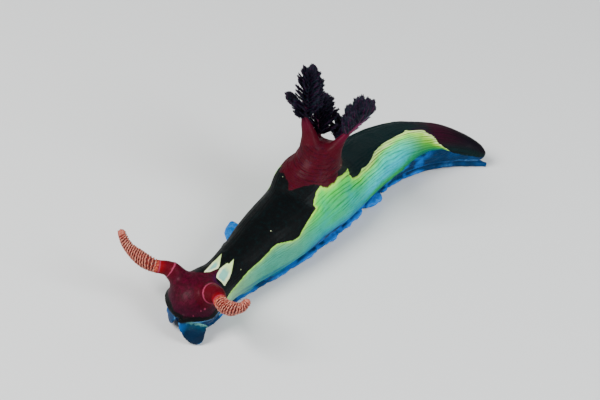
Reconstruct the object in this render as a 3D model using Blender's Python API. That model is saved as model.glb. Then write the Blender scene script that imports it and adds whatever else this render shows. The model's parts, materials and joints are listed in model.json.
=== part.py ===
"""A crawling nembrotha sea slug as a still, life-size model.

The head faces -Y and the tail bends towards the animal's left, +X. The sole
lies flat on the floor, Z = 0. Sizes below are in millimetres; meshes are in
metres.
"""

import math
import random

import bmesh
import bpy
from mathutils import Euler, Vector

MM = 0.001

# Clearance kept between neighbouring pieces
GAP = 0.3

# Midline of the body: the head bends a little to the animal's right, the body
# is straight past the gill, and the tail turns ever more to the left
BODY_LENGTH = 58.2
HEAD_BEND_END = 14.0
HEAD_TURN = math.radians(2.0)
TAIL_BEND_START = 33.0
TAIL_TURN = math.radians(64.7)
TAIL_TURN_POWER = 1.6
GILL_PLACE = 27.3
GILL_Y = -0.9
MIDLINE_STEP = 0.1

# Distance from the front, half width of the body, height of the back
STATIONS = (
    (0.0, 2.6, 5.4),
    (2.5, 2.9, 5.9),
    (5.0, 2.65, 5.85),
    (7.5, 2.35, 5.5),
    (10.0, 2.5, 5.65),
    (14.0, 3.1, 6.4),
    (18.0, 3.75, 7.2),
    (22.5, 4.15, 7.8),
    (27.3, 4.4, 8.3),
    (33.0, 4.2, 7.35),
    (39.0, 3.7, 6.95),
    (45.0, 3.1, 6.6),
    (50.5, 2.4, 5.6),
    (55.0, 1.6, 4.1),
    (58.2, 0.8, 2.6),
)
# Height of the widest level, as a share of the section, and the form below it
WAIST_SHARE = 0.42
LOWER_SQUARENESS = 3.6
LOWER_FLATNESS = 1.12
SECTION_SIDES = 28
RING_SPACING = 1.5

# Foot: its margin is thin, waves up and down, and reaches past the half width
# of the body by the stated amount
FOOT_HEIGHT = 0.9
FOOT_MARGIN = -0.3
FOOT_LEAST_HALF = 0.25
FOOT_EDGE_THICKNESS = 0.5
FOOT_FRONT = 1.6
FOOT_END = 58.7
FOOT_FRONT_ROUND = 3.0
FOOT_END_ROUND = 2.5
FOOT_RING_SPACING = 1.1
MARGIN_LIFT = 0.12
RUFFLE_RISE = 0.25
RUFFLE_SPREAD = 0.05
RUFFLE_LENGTH = 5.2
RUFFLE_PHASES = {1: 0.9, -1: 2.6}
# Flaps of the margin: side, place, how far they reach out, half length and lift
MARGIN_FLAPS = (
    (-1, 18.5, 2.6, 2.1, 0.5),
    (1, 37.0, 0.55, 1.6, 0.25),
    (-1, 41.0, 0.5, 2.2, 0.2),
)
BODY_BASE = FOOT_HEIGHT + GAP

# Head
NOSE_HEIGHT = 2.9
NOSE_ROUND = 2.8
CHIN_SETBACK = 0.55
NOSE_RING_ANGLES = tuple(math.radians(a) for a in (8, 18, 29, 40, 51, 62, 73, 84))
HEAD_RING_SPACING = 0.8
# The mouth is a groove under the front: which ring it follows, depth and reach
MOUTH_RING = 4
MOUTH_DEPTH = 0.32
MOUTH_HALF_ANGLE = math.radians(62.0)
MOUTH_INWARD = 1.2
TAIL_ROUND = 1.2
TAIL_TIP_HEIGHT = 2.0
TAIL_RING_SHARES = (0.6, 0.3, 0.1)

# Where the body is parted into lengths
HEAD_END = 6.6
NECK_END = 10.6
BODY_FRONT_END = 20.6
BODY_MIDDLE_END = 33.4
BODY_REAR_END = 45.0
FOOT_PARTINGS = (FOOT_FRONT, 21.5, 43.5, FOOT_END)

# Rhinophores: routes from inside the head to the tip, the shares of the route
# where the sheath and the stalk end, and the radii of sheath rim and club
RHINOPHORES = {
    "right": {
        "route": (
            (-1.5, -24.9, 4.0), (-3.5, -25.3, 5.35), (-5.0, -26.3, 5.65), (-6.7, -26.9, 6.15),
            (-8.3, -27.2, 7.1), (-9.5, -27.2, 8.7),
        ),
        "sheath": 0.2, "stalk": 0.38, "rim": 0.98, "club": 0.84,
    },
    "left": {
        "route": (
            (1.0, -24.5, 4.0), (2.0, -25.5, 5.5), (3.0, -26.0, 6.2), (3.9, -26.9, 6.5),
            (5.0, -27.6, 6.9), (6.0, -27.8, 7.3), (6.85, -27.35, 7.8), (7.1, -26.6, 8.6),
        ),
        "sheath": 0.16, "stalk": 0.43, "rim": 1.15, "club": 0.72,
    },
}
SHEATH_FLARE = 0.55
SHEATH_RINGS = 7
STALK_RINGS = 5
STALK_TOP_RADIUS = 0.7
STALK_INSET = 0.1
CLUB_TIP_SHARE = 0.45
ROUND_SIDES = 18
LAMELLA_COUNT = 14
LAMELLA_RELIEF = 0.11
LAMELLA_SLOPE = 0.55

# Oral tentacles: routes from inside the head to the tip
ORAL_ROUTES = {
    "left": ((1.2, -26.5, 2.9), (2.2, -27.6, 2.2), (2.6, -27.8, 1.3), (3.2, -27.4, 0.25)),
    "right": ((-1.0, -26.4, 2.9), (-1.5, -27.1, 2.1), (-1.7, -27.0, 1.3), (-1.9, -26.6, 0.5)),
}
ORAL_HALF_WIDTH = 1.15
ORAL_THICKNESS = 0.6
ORAL_TAPER_START = 0.55
ORAL_RINGS = 9
ORAL_SIDES = 14
HEAD_CLEARANCE_PLACES = (0.02, 0.15, 0.4, 0.9, 1.5, 2.1, 2.8, 3.6, 5.0, HEAD_END)

# Gill: a pedestal on the back that carries the plumes. Each section has its rise
# over the back, half length, half width, and shifts to the left and tailward
GILL_BACK = 8.3
PEDESTAL_SECTIONS = (
    (-3.2, 6.8, 4.2, -0.2, -0.8),
    (-1.4, 6.4, 4.1, -0.35, -0.8),
    (-0.4, 5.4, 3.75, -0.5, -0.7),
    (0.4, 4.2, 3.15, -0.55, -0.5),
    (1.3, 3.1, 2.55, -0.5, -0.25),
    (2.5, 2.45, 2.15, -0.5, -0.1),
)
PEDESTAL_SIDES = 28
CLEARANCE_REACH = 9.0
GILL_CENTRE = Vector((-0.4, GILL_Y, 0.0))

SEED = 7


def smooth_value(points, place, column):
    """The value at a place of a smooth curve through the given points."""
    last = len(points) - 1
    place = min(max(place, points[0][0]), points[last][0])
    i = 0
    while i < last - 1 and place > points[i + 1][0]:
        i += 1

    def slope(k):
        low, high = max(k - 1, 0), min(k + 1, last)
        return (points[high][column] - points[low][column]) / (points[high][0] - points[low][0])

    run = points[i + 1][0] - points[i][0]
    t = (place - points[i][0]) / run
    start, end = points[i][column], points[i + 1][column]
    return (
        (1 + 2 * t) * (1 - t) ** 2 * start
        + t * (1 - t) ** 2 * run * slope(i)
        + t * t * (3 - 2 * t) * end
        - t * t * (1 - t) * run * slope(i + 1)
    )


def heading(s):
    """How far the midline has turned from +Y towards +X."""
    if s < HEAD_BEND_END:
        return HEAD_TURN * (1 - s / HEAD_BEND_END)
    bend = max(0.0, (s - TAIL_BEND_START) / (BODY_LENGTH - TAIL_BEND_START))
    return TAIL_TURN * bend ** TAIL_TURN_POWER


def trace_midline():
    """Places along the midline, a step apart, with the gill's place at x = 0."""
    count = round((BODY_LENGTH + 1.0) / MIDLINE_STEP)
    trail = [Vector((0.0, 0.0, 0.0))]
    for k in range(count):
        turn = heading((k + 0.5) * MIDLINE_STEP)
        trail.append(trail[-1] + Vector((math.sin(turn), math.cos(turn), 0.0)) * MIDLINE_STEP)
    gill = trail[round(GILL_PLACE / MIDLINE_STEP)]
    shift = Vector((0.0, GILL_Y, 0.0)) - gill
    return [place + shift for place in trail]


TRAIL = trace_midline()


def midline(s):
    """Place on the floor under the midline, and the heading towards the tail."""
    whole = min(int(s / MIDLINE_STEP), len(TRAIL) - 2)
    part = s / MIDLINE_STEP - whole
    return TRAIL[whole].lerp(TRAIL[whole + 1], part), heading(s)


def end_rounding(s):
    """How full the section is, from 0 at either end to 1 along the body."""
    if s < NOSE_ROUND:
        return math.sqrt(max(0.0, 1 - (1 - s / NOSE_ROUND) ** 2))
    if s > BODY_LENGTH - TAIL_ROUND:
        return math.sqrt(max(0.0, 1 - ((s - BODY_LENGTH + TAIL_ROUND) / TAIL_ROUND) ** 2))
    return 1.0


def body_point(s, angle, grow=0.0):
    """A point of the body's surface. Angle 0 is the top of the back, and it
    rises towards the animal's left."""
    full = end_rounding(s)
    level = NOSE_HEIGHT if s < BODY_LENGTH / 2 else TAIL_TIP_HEIGHT
    half = smooth_value(STATIONS, s, 1) * full + grow
    top = level + (smooth_value(STATIONS, s, 2) - level) * full + grow
    base = level + (BODY_BASE - level) * full - grow
    waist = base + (top - base) * WAIST_SHARE
    side, rise = math.sin(angle), math.cos(angle)
    if rise >= 0:
        across, height = half * side, waist + (top - waist) * rise
    else:
        power = 2 / LOWER_SQUARENESS
        across = half * math.copysign(abs(side) ** power, side)
        drop = min(1.0, LOWER_FLATNESS * abs(rise) ** power)
        height = waist - (waist - base) * drop
    centre, turn = midline(s)
    setback = 0.0
    if height < NOSE_HEIGHT and s < HEAD_END:
        setback = CHIN_SETBACK * (NOSE_HEIGHT - height) * (1 - s / HEAD_END)
    return Vector((
        centre.x + across * math.cos(turn) + setback * math.sin(turn),
        centre.y - across * math.sin(turn) + setback * math.cos(turn),
        height,
    ))


def make_object(name, points, faces):
    """A mesh object from points in millimetres, with its faces turned out."""
    mesh = bpy.data.meshes.new(name)
    mesh.from_pydata([tuple(p * MM for p in point) for point in points], [], faces)
    build = bmesh.new()
    build.from_mesh(mesh)
    bmesh.ops.recalc_face_normals(build, faces=build.faces)
    build.to_mesh(mesh)
    build.free()
    thing = bpy.data.objects.new(name, mesh)
    bpy.context.scene.collection.objects.link(thing)
    return thing


def loft(name, rings, start_pole=None, end_pole=None):
    """A closed surface through rings of equal length. Each end is a pole, or
    a flat fan round the middle of its ring."""
    sides = len(rings[0])
    points = [p for ring in rings for p in ring]
    faces = []
    for i in range(len(rings) - 1):
        for j in range(sides):
            a, b = i * sides + j, i * sides + (j + 1) % sides
            faces.append((a, b, b + sides, a + sides))
    for ring, pole, first in (
        (rings[0], start_pole, 0),
        (rings[-1], end_pole, (len(rings) - 1) * sides),
    ):
        middle = pole if pole is not None else sum((Vector(p) for p in ring), Vector()) / sides
        points.append(middle)
        hub = len(points) - 1
        for j in range(sides):
            faces.append((first + j, first + (j + 1) % sides, hub))
    return make_object(name, points, faces)


def keep_largest_surface(mesh):
    """Deletes every closed surface of a mesh but the largest."""
    build = bmesh.new()
    build.from_mesh(mesh)
    unseen = set(build.verts)
    shells = []
    while unseen:
        front = [unseen.pop()]
        shell = set(front)
        while front:
            vert = front.pop()
            for edge in vert.link_edges:
                other = edge.other_vert(vert)
                if other in unseen:
                    unseen.discard(other)
                    shell.add(other)
                    front.append(other)
        shells.append(shell)
    shells.sort(key=len, reverse=True)
    for shell in shells[1:]:
        bmesh.ops.delete(build, geom=list(shell), context="VERTS")
    bmesh.ops.triangulate(build, faces=build.faces)
    build.to_mesh(mesh)
    build.free()


def combine(thing, others, operation, solver="EXACT"):
    """Joins or cuts an object with a collection of others, which it removes."""
    group = bpy.data.collections.new(thing.name + "_tools")
    bpy.context.scene.collection.children.link(group)
    for other in others:
        bpy.context.scene.collection.objects.unlink(other)
        group.objects.link(other)
    boolean = thing.modifiers.new("Boolean", "BOOLEAN")
    boolean.operation = operation
    boolean.operand_type = "COLLECTION"
    boolean.collection = group
    boolean.solver = solver
    graph = bpy.context.evaluated_depsgraph_get()
    graph.update()
    result = bpy.data.meshes.new_from_object(thing.evaluated_get(graph))
    thing.modifiers.remove(boolean)
    old = thing.data
    thing.data = result
    bpy.data.meshes.remove(old)
    for other in list(group.objects):
        mesh = other.data
        bpy.data.objects.remove(other)
        bpy.data.meshes.remove(mesh)
    bpy.data.collections.remove(group)
    keep_largest_surface(thing.data)
    result.name = thing.name


def finish(thing, colour, roughness):
    """Gives a piece its material and smooth shading."""
    material = bpy.data.materials.new(thing.name)
    material.use_nodes = True
    shader = material.node_tree.nodes["Principled BSDF"]
    shader.inputs["Base Color"].default_value = (*colour, 1.0)
    shader.inputs["Roughness"].default_value = roughness
    shader.inputs["Metallic"].default_value = 0.0
    thing.data.materials.clear()
    thing.data.materials.append(material)
    thing.data.shade_smooth()
    thing.data.set_sharp_from_angle(angle=math.radians(50.0))


MAROON = (0.16, 0.006, 0.02)
CRIMSON = (0.27, 0.004, 0.02)
BLACK = (0.006, 0.006, 0.009)
CREAM_GREEN = (0.42, 0.62, 0.32)
DEEP_BLUE = (0.015, 0.11, 0.42)
SALMON = (0.62, 0.13, 0.07)
PURPLE_BLACK = (0.022, 0.006, 0.03)


def body_ring(s, grow=0.0):
    """The outline of the body across a place of its midline."""
    return [body_point(s, 2 * math.pi * j / SECTION_SIDES, grow) for j in range(SECTION_SIDES)]


def steps(start, end, longest):
    """Evenly spaced places from start to end, no further apart than longest."""
    count = max(1, math.ceil((end - start) / longest))
    return [start + (end - start) * k / count for k in range(count + 1)]


def body_length(name, start, end, colour):
    """One length of the body, flat at both ends."""
    piece = loft(name, [body_ring(s) for s in steps(start, end, RING_SPACING)])
    finish(piece, colour, 0.32)
    return piece


def make_body():
    """The neck, three lengths of the body and the tail."""
    body_length("neck", HEAD_END + GAP, NECK_END, BLACK)
    body_length("body_front", NECK_END + GAP, BODY_FRONT_END, BLACK)
    body_length("body_middle", BODY_FRONT_END + GAP, BODY_MIDDLE_END, CRIMSON)
    body_length("body_rear", BODY_MIDDLE_END + GAP, BODY_REAR_END, CREAM_GREEN)
    start = BODY_REAR_END + GAP
    places = steps(start, BODY_LENGTH - TAIL_ROUND, RING_SPACING)
    places += [BODY_LENGTH - TAIL_ROUND * share for share in TAIL_RING_SHARES]
    rings = [body_ring(s) for s in places]
    tail = loft("tail", rings, end_pole=body_point(BODY_LENGTH, 0.0))
    finish(tail, MAROON, 0.32)


def route_point(route, share):
    """A point of a smooth curve through the route's points, and its direction."""
    count = len(route) - 1
    numbered = [(k, *point) for k, point in enumerate(route)]

    def at(t):
        return Vector([smooth_value(numbered, t * count, column) for column in (1, 2, 3)])

    step = 0.004
    low, high = max(0.0, share - step), min(1.0, share + step)
    return at(share), (at(high) - at(low)).normalized()


def cross_frame(direction):
    """Two unit vectors across a direction: sideways, and as near upward as can be."""
    sideways = direction.cross(Vector((0.0, 0.0, 1.0))).normalized()
    return sideways, sideways.cross(direction).normalized()


def tube_ring(route, share, radius, sides, slope=0.0):
    """A ring round a route. With a slope, its upper half leans on towards the tip."""
    centre, direction = route_point(route, share)
    sideways, up = cross_frame(direction)
    ring = []
    for j in range(sides):
        angle = 2 * math.pi * j / sides
        out = sideways * math.cos(angle) + up * math.sin(angle)
        ring.append(centre + out * radius + direction * (slope * radius * math.sin(angle)))
    return ring


def make_head():
    """The head with the groove of its mouth and the two rhinophore sheaths."""
    places = [NOSE_ROUND * (1 - math.cos(angle)) for angle in NOSE_RING_ANGLES]
    places += steps(NOSE_ROUND + 0.3, HEAD_END, HEAD_RING_SPACING)
    rings = [body_ring(s) for s in places]
    centre, _ = midline(places[MOUTH_RING])
    throat = Vector((0.0, centre.y + MOUTH_INWARD, NOSE_HEIGHT))
    for j, point in enumerate(rings[MOUTH_RING]):
        off = abs(2 * math.pi * j / SECTION_SIDES - math.pi)
        if off < MOUTH_HALF_ANGLE:
            depth = MOUTH_DEPTH * math.sqrt(math.cos(off / MOUTH_HALF_ANGLE * math.pi / 2))
            rings[MOUTH_RING][j] = point + (throat - point).normalized() * depth
    head = loft("head", rings, start_pole=body_point(0.0, 0.0))
    sheaths = []
    for side, form in RHINOPHORES.items():
        sheath = []
        for k in range(SHEATH_RINGS + 1):
            t = k / SHEATH_RINGS
            radius = form["rim"] + SHEATH_FLARE * (1 - t) ** 1.6
            sheath.append(tube_ring(form["route"], form["sheath"] * t, radius, ROUND_SIDES))
        sheaths.append(loft("sheath_" + side, sheath))
    combine(head, sheaths, "UNION")
    finish(head, MAROON, 0.3)


def route_length(route):
    """Length of the smooth curve through a route's points."""
    points = [route_point(route, k / 60)[0] for k in range(61)]
    return sum((b - a).length for a, b in zip(points, points[1:]))


def make_rhinophores():
    """A smooth stalk and a club ringed with lamellae on each side."""
    for side, form in RHINOPHORES.items():
        route = form["route"]
        gap = GAP / route_length(route)
        start, end = form["sheath"] + gap, form["stalk"]
        root_radius = form["rim"] - STALK_INSET
        rings = []
        for k in range(STALK_RINGS):
            t = k / (STALK_RINGS - 1)
            radius = STALK_TOP_RADIUS + (root_radius - STALK_TOP_RADIUS) * (1 - t) ** 1.4
            rings.append(tube_ring(route, start + (end - start) * t, radius, ROUND_SIDES))
        stalk = loft("rhinophore_" + side + "_stalk", rings)
        finish(stalk, CRIMSON, 0.35)

        start = form["stalk"] + gap
        rings = [tube_ring(route, start, STALK_TOP_RADIUS, ROUND_SIDES)]
        count = 2 * LAMELLA_COUNT
        for k in range(1, count):
            t = k / count
            swell = math.sin(math.pi * min(1.0, 1.6 * t))
            radius = STALK_TOP_RADIUS + (form["club"] - STALK_TOP_RADIUS) * swell
            radius += (form["club"] * CLUB_TIP_SHARE - radius) * t ** 2.2
            radius *= 1 + (LAMELLA_RELIEF if k % 2 else -LAMELLA_RELIEF * 0.5)
            slope = LAMELLA_SLOPE * min(1.0, 5 * t, 5 * (1 - t))
            share = start + (1 - start) * t * 0.97
            rings.append(tube_ring(route, share, radius, ROUND_SIDES, slope))
        tip, _ = route_point(route, 1.0)
        club = loft("rhinophore_" + side + "_club", rings, end_pole=tip)
        finish(club, SALMON, 0.45)


def make_oral_tentacles():
    """A flat flap on each side of the mouth, cut clear of the head."""
    for side, route in ORAL_ROUTES.items():
        outward = Vector((route[2][0], -1.6, 0.0)).normalized()
        rings = []
        for k in range(ORAL_RINGS):
            t = k / (ORAL_RINGS - 1)
            centre, direction = route_point(route, t)
            across = direction.cross(outward).normalized()
            thick = across.cross(direction).normalized()
            tip = max(0.0, (t - ORAL_TAPER_START) / (1.02 - ORAL_TAPER_START))
            half = ORAL_HALF_WIDTH * math.sqrt(max(0.02, 1 - tip * tip))
            deep = ORAL_THICKNESS / 2 * (1.0 if t < 0.8 else 0.85)
            ring = []
            for j in range(ORAL_SIDES):
                angle = 2 * math.pi * j / ORAL_SIDES
                ring.append(centre + across * half * math.cos(angle) + thick * deep * math.sin(angle))
            rings.append(ring)
        tentacle = loft("oral_tentacle_" + side, rings)
        shell = [body_ring(s, grow=GAP) for s in HEAD_CLEARANCE_PLACES]
        combine(tentacle, [loft("head_clearance", shell)], "DIFFERENCE")
        finish(tentacle, DEEP_BLUE, 0.4)


def foot_half(s):
    """Half width of the foot at a place along the body."""
    front = 1 - min(1.0, (s - FOOT_FRONT) / FOOT_FRONT_ROUND)
    end = 1 - min(1.0, (FOOT_END - s) / FOOT_END_ROUND)
    rounding = math.sqrt(max(0.0, 1 - front ** 2)) * math.sqrt(max(0.0, 1 - end ** 2))
    return max(FOOT_LEAST_HALF, (smooth_value(STATIONS, s, 1) + FOOT_MARGIN) * rounding)


def foot_ring(s):
    """A closed outline across the foot, flat below and thin at its margins."""
    half = foot_half(s)
    centre, turn = midline(s)
    top = FOOT_HEIGHT
    if half < 1.0:
        top = FOOT_EDGE_THICKNESS + (FOOT_HEIGHT - FOOT_EDGE_THICKNESS) * half
    outline = []
    for side in (1, -1):
        wave = math.sin(2 * math.pi * s / RUFFLE_LENGTH + RUFFLE_PHASES[side])
        lift = (MARGIN_LIFT + RUFFLE_RISE * (0.5 + 0.5 * wave)) * min(1.0, half / 1.5)
        spread = half * (1 + RUFFLE_SPREAD * wave)
        edge_top = min(top, lift + FOOT_EDGE_THICKNESS)
        for flap_side, place, reach, half_length, rise in MARGIN_FLAPS:
            if flap_side == side:
                bump = math.exp(-((s - place) / half_length) ** 4)
                spread += reach * bump
                lift += rise * bump
                edge_top = max(edge_top, (lift + FOOT_EDGE_THICKNESS) * bump)
        flank = [
            (0.0, 0.0),
            (0.72 * half, 0.0),
            (0.9 * spread, 0.5 * lift),
            (spread, lift),
            (spread, (lift + edge_top) / 2),
            (0.97 * spread, edge_top),
            (0.84 * half, min(top, 0.6 * top + 0.4 * edge_top)),
            (0.7 * half, top),
            (0.0, top),
        ]
        if side > 0:
            outline += flank[:-1]
        else:
            outline += [(-x, z) for x, z in reversed(flank[1:])]
    return [
        Vector((centre.x + x * math.cos(turn), centre.y - x * math.sin(turn), z))
        for x, z in outline
    ]


def make_foot():
    """The foot in three lengths, with closer rings towards its rounded ends."""
    names = ("foot_front", "foot_middle", "foot_rear")
    inset = 0.02
    closer = (0.15, 0.5)
    for k, name in enumerate(names):
        start = FOOT_PARTINGS[k] + (GAP if k else inset)
        end = FOOT_PARTINGS[k + 1] - (inset if k == 2 else 0.0)
        places = steps(start, end, FOOT_RING_SPACING)
        if k == 0:
            places[1:1] = [start + step for step in closer]
        if k == 2:
            places[-1:-1] = [end - step for step in reversed(closer)]
        foot = loft(name, [foot_ring(s) for s in places])
        finish(foot, DEEP_BLUE, 0.4)


def pedestal_rings(grow=0.0):
    """Rings of the gill's pedestal from inside the body to its top."""
    rings = []
    for rise, along, across, aside, behind in PEDESTAL_SECTIONS:
        ring = []
        for j in range(PEDESTAL_SIDES):
            angle = 2 * math.pi * j / PEDESTAL_SIDES
            ring.append(Vector((
                aside + (across + grow) * math.sin(angle),
                GILL_Y + behind + (along + grow) * math.cos(angle),
                GILL_BACK + rise + (grow if rise == PEDESTAL_SECTIONS[-1][0] else 0.0),
            )))
        rings.append(ring)
    return rings


def make_gill_base():
    """The pedestal, cut clear of the back."""
    base = loft("gill_base", pedestal_rings())
    places = steps(GILL_PLACE - CLEARANCE_REACH, GILL_PLACE + CLEARANCE_REACH, RING_SPACING)
    clearance = loft("back_clearance", [body_ring(s, grow=GAP) for s in places])
    combine(base, [clearance], "DIFFERENCE")
    finish(base, CRIMSON, 0.32)


# Plumes: the route of each stem from inside the pedestal to its tip, the stem's
# radius at its root and where the branchlets start, the share that is bare, the
# number of branchlets on each side, the length of the longest, how far they lean
# in over the gill's middle and how far the plume is turned, in degrees
PLUMES = {
    "gill_right": {
        "route": (
            (-1.2, -1.6, 9.6), (-1.6, -1.9, 11.1), (-2.5, -1.7, 12.6), (-3.2, -1.6, 14.1),
            (-3.6, -1.5, 15.7), (-4.0, -1.3, 17.4), (-4.3, -1.1, 19.0), (-4.5, -1.0, 20.3),
        ),
        "base": 1.1, "neck": 0.45, "bare": 0.48,
        "pairs": 9, "longest": 2.5, "inward": 18.0, "twist": -30.0,
    },
    "gill_left": {
        "route": (
            (0.4, -0.9, 9.6), (0.9, -0.8, 11.3), (1.5, 0.2, 13.2), (2.5, 1.4, 15.3), (3.3, 2.4, 16.7),
        ),
        "base": 1.1, "neck": 0.5, "bare": 0.34,
        "pairs": 8, "longest": 3.1, "inward": 42.0, "twist": 0.0,
    },
    "gill_rear_right": {
        "route": (
            (-1.2, 0.3, 9.6), (-1.8, 0.6, 11.2), (-2.5, 1.3, 12.5), (-3.2, 2.1, 13.5), (-3.6, 2.7, 14.3),
        ),
        "base": 0.7, "neck": 0.4, "bare": 0.35,
        "pairs": 6, "longest": 2.2, "inward": 34.0, "twist": 0.0,
    },
    "gill_rear": {
        "route": (
            (0.1, 0.9, 9.6), (0.2, 1.3, 11.0), (0.3, 2.6, 12.0), (0.5, 4.2, 12.6), (0.7, 5.4, 13.4),
        ),
        "base": 0.7, "neck": 0.4, "bare": 0.35,
        "pairs": 6, "longest": 2.2, "inward": 34.0, "twist": 0.0,
    },
}

# The right plume forks: a short branch leaves its stem towards the head
FORE_BRANCH = {
    "route": ((-3.2, -1.6, 14.2), (-3.9, -1.9, 14.9), (-4.9, -2.1, 15.7), (-5.7, -2.2, 16.5)),
    "base": 0.42, "neck": 0.35, "bare": 0.3,
    "pairs": 4, "longest": 1.4, "inward": 10.0, "twist": 0.0,
}

# Length of a branchlet along its stem, as a share of the longest
BRANCHLET_LENGTHS = ((0.0, 0.7), (0.25, 1.0), (0.6, 0.85), (1.0, 0.45))
# Outline of a branchlet: place along it, and share of its width at each notch
BRANCHLET_OUTLINE = (
    (0.0, 0.6), (0.22, 1.0), (0.34, 0.7), (0.5, 0.95), (0.62, 0.58), (0.76, 0.72), (0.86, 0.4),
)
BRANCHLET_WIDTH = 0.85
BRANCHLET_THICKNESS = 0.5
BRANCHLET_FORWARD = 0.45
BRANCHLET_TWIST = math.radians(48.0)
BRANCHLET_CURL = 0.16
LAST_BRANCHLETS = 0.96
STEM_TIP_RADIUS = 0.24
STEM_SIDES = 10
STEM_RINGS = 16


def blade(name, root, reach, across, length, width, curl_way):
    """A flat, tapered branchlet with notched margins, split alike on both faces."""
    thick_way = reach.cross(across).normalized()

    def spot(share):
        return root + reach * (length * share) + curl_way * (BRANCHLET_CURL * length * share * share)

    points = []
    for share, fullness in BRANCHLET_OUTLINE:
        half = width / 2 * fullness
        deep = BRANCHLET_THICKNESS / 2 * (1 - 0.35 * share)
        middle = spot(share)
        points += [
            middle + across * half, middle + thick_way * deep,
            middle - across * half, middle - thick_way * deep,
        ]
    points.append(spot(1.0))
    tip = len(points) - 1
    last = tip - 4
    faces = [(0, 1, 3), (1, 2, 3)]
    for first in range(0, last, 4):
        for j in range(4):
            a, b = first + j, first + (j + 1) % 4
            if j % 2:
                faces += [(a, b, a + 4), (b, b + 4, a + 4)]
            else:
                faces += [(a, b, b + 4), (a, b + 4, a + 4)]
    faces += [(last + j, last + (j + 1) % 4, tip) for j in range(4)]
    return make_object(name, points, faces)


def stem_radius(plume, t):
    """Radius of a plume's stem: it tapers to a neck, then evenly to its tip."""
    bare = plume["bare"]
    if t < bare:
        return plume["neck"] + (plume["base"] - plume["neck"]) * (1 - t / bare) ** 1.3
    return plume["neck"] + (STEM_TIP_RADIUS - plume["neck"]) * (t - bare) / (1 - bare)


def make_stem(name, plume):
    """The stem of a plume as a tapered tube along its route."""
    rings = []
    for k in range(STEM_RINGS + 1):
        t = k / STEM_RINGS
        rings.append(tube_ring(plume["route"], t, stem_radius(plume, t), STEM_SIDES))
    return loft(name, rings)


def make_branchlets(name, plume, chance):
    """The branchlets on both sides of a stem, leaning in over the gill's middle."""
    route, bare, pairs = plume["route"], plume["bare"], plume["pairs"]
    blades = []
    for k in range(2 * pairs):
        side = 1 if k % 2 else -1
        share = (k + 0.5) / (2 * pairs)
        centre, direction = route_point(route, bare + (LAST_BRANCHLETS - bare) * share)
        outward = Vector((centre.x - GILL_CENTRE.x, centre.y - GILL_CENTRE.y, 0.0))
        outward.rotate(Euler((0.0, 0.0, math.radians(plume["twist"]))))
        outward = (outward - direction * outward.dot(direction)).normalized()
        sideways = direction.cross(outward)
        lean = math.radians(plume["inward"] + chance.uniform(-8.0, 8.0))
        reach = (
            sideways * (side * math.cos(lean)) - outward * math.sin(lean)
            + direction * (BRANCHLET_FORWARD + chance.uniform(-0.08, 0.08) + 0.5 * share)
        ).normalized()
        flat = (direction - reach * direction.dot(reach)).normalized()
        twist = side * (BRANCHLET_TWIST + chance.uniform(-0.15, 0.15))
        across = flat * math.cos(twist) + reach.cross(flat) * math.sin(twist)
        length = plume["longest"] * smooth_value(BRANCHLET_LENGTHS, share, 1) * chance.uniform(0.92, 1.05)
        width = BRANCHLET_WIDTH * (0.8 + 0.2 * length / plume["longest"])
        blades.append(blade(name + "_branchlet", centre, reach, across, length, width, direction))
    centre, direction = route_point(route, LAST_BRANCHLETS)
    sideways, _ = cross_frame(direction)
    length = plume["longest"] * BRANCHLET_LENGTHS[-1][1]
    blades.append(blade(name + "_branchlet", centre, direction, sideways, length, BRANCHLET_WIDTH, -sideways))
    return blades


def make_plume(name, plume, chance):
    """A stem with its branchlets, joined at one go and cut clear of the pedestal."""
    stem = make_stem(name, plume)
    pieces = make_branchlets(name, plume, chance)
    if name == "gill_right":
        pieces.append(make_stem(name + "_fore", FORE_BRANCH))
        pieces += make_branchlets(name + "_fore", FORE_BRANCH, chance)
    combine(stem, pieces, "UNION")
    clearance = loft("pedestal_clearance", pedestal_rings(grow=GAP))
    combine(stem, [clearance], "DIFFERENCE")
    finish(stem, PURPLE_BLACK, 0.4)


def main():
    for thing in list(bpy.data.objects):
        bpy.data.objects.remove(thing)
    make_head()
    make_body()
    make_foot()
    make_rhinophores()
    make_oral_tentacles()
    make_gill_base()
    chance = random.Random(SEED)
    for name, plume in PLUMES.items():
        make_plume(name, plume, chance)


main()
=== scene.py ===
"""A crawling nembrotha sea slug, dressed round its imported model.

Shapes are worked out in millimetres and brought to metres when they are made.
The head faces -Y, the tail bends towards the animal's left, +X, and the sole
lies on the floor, Z = 0.
"""

import json
import math
import random

import bmesh
import bpy
import numpy as np
from bpy.props import FloatProperty, FloatVectorProperty, IntProperty, PointerProperty
from mathutils import Matrix, Quaternion, Vector, noise

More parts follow.
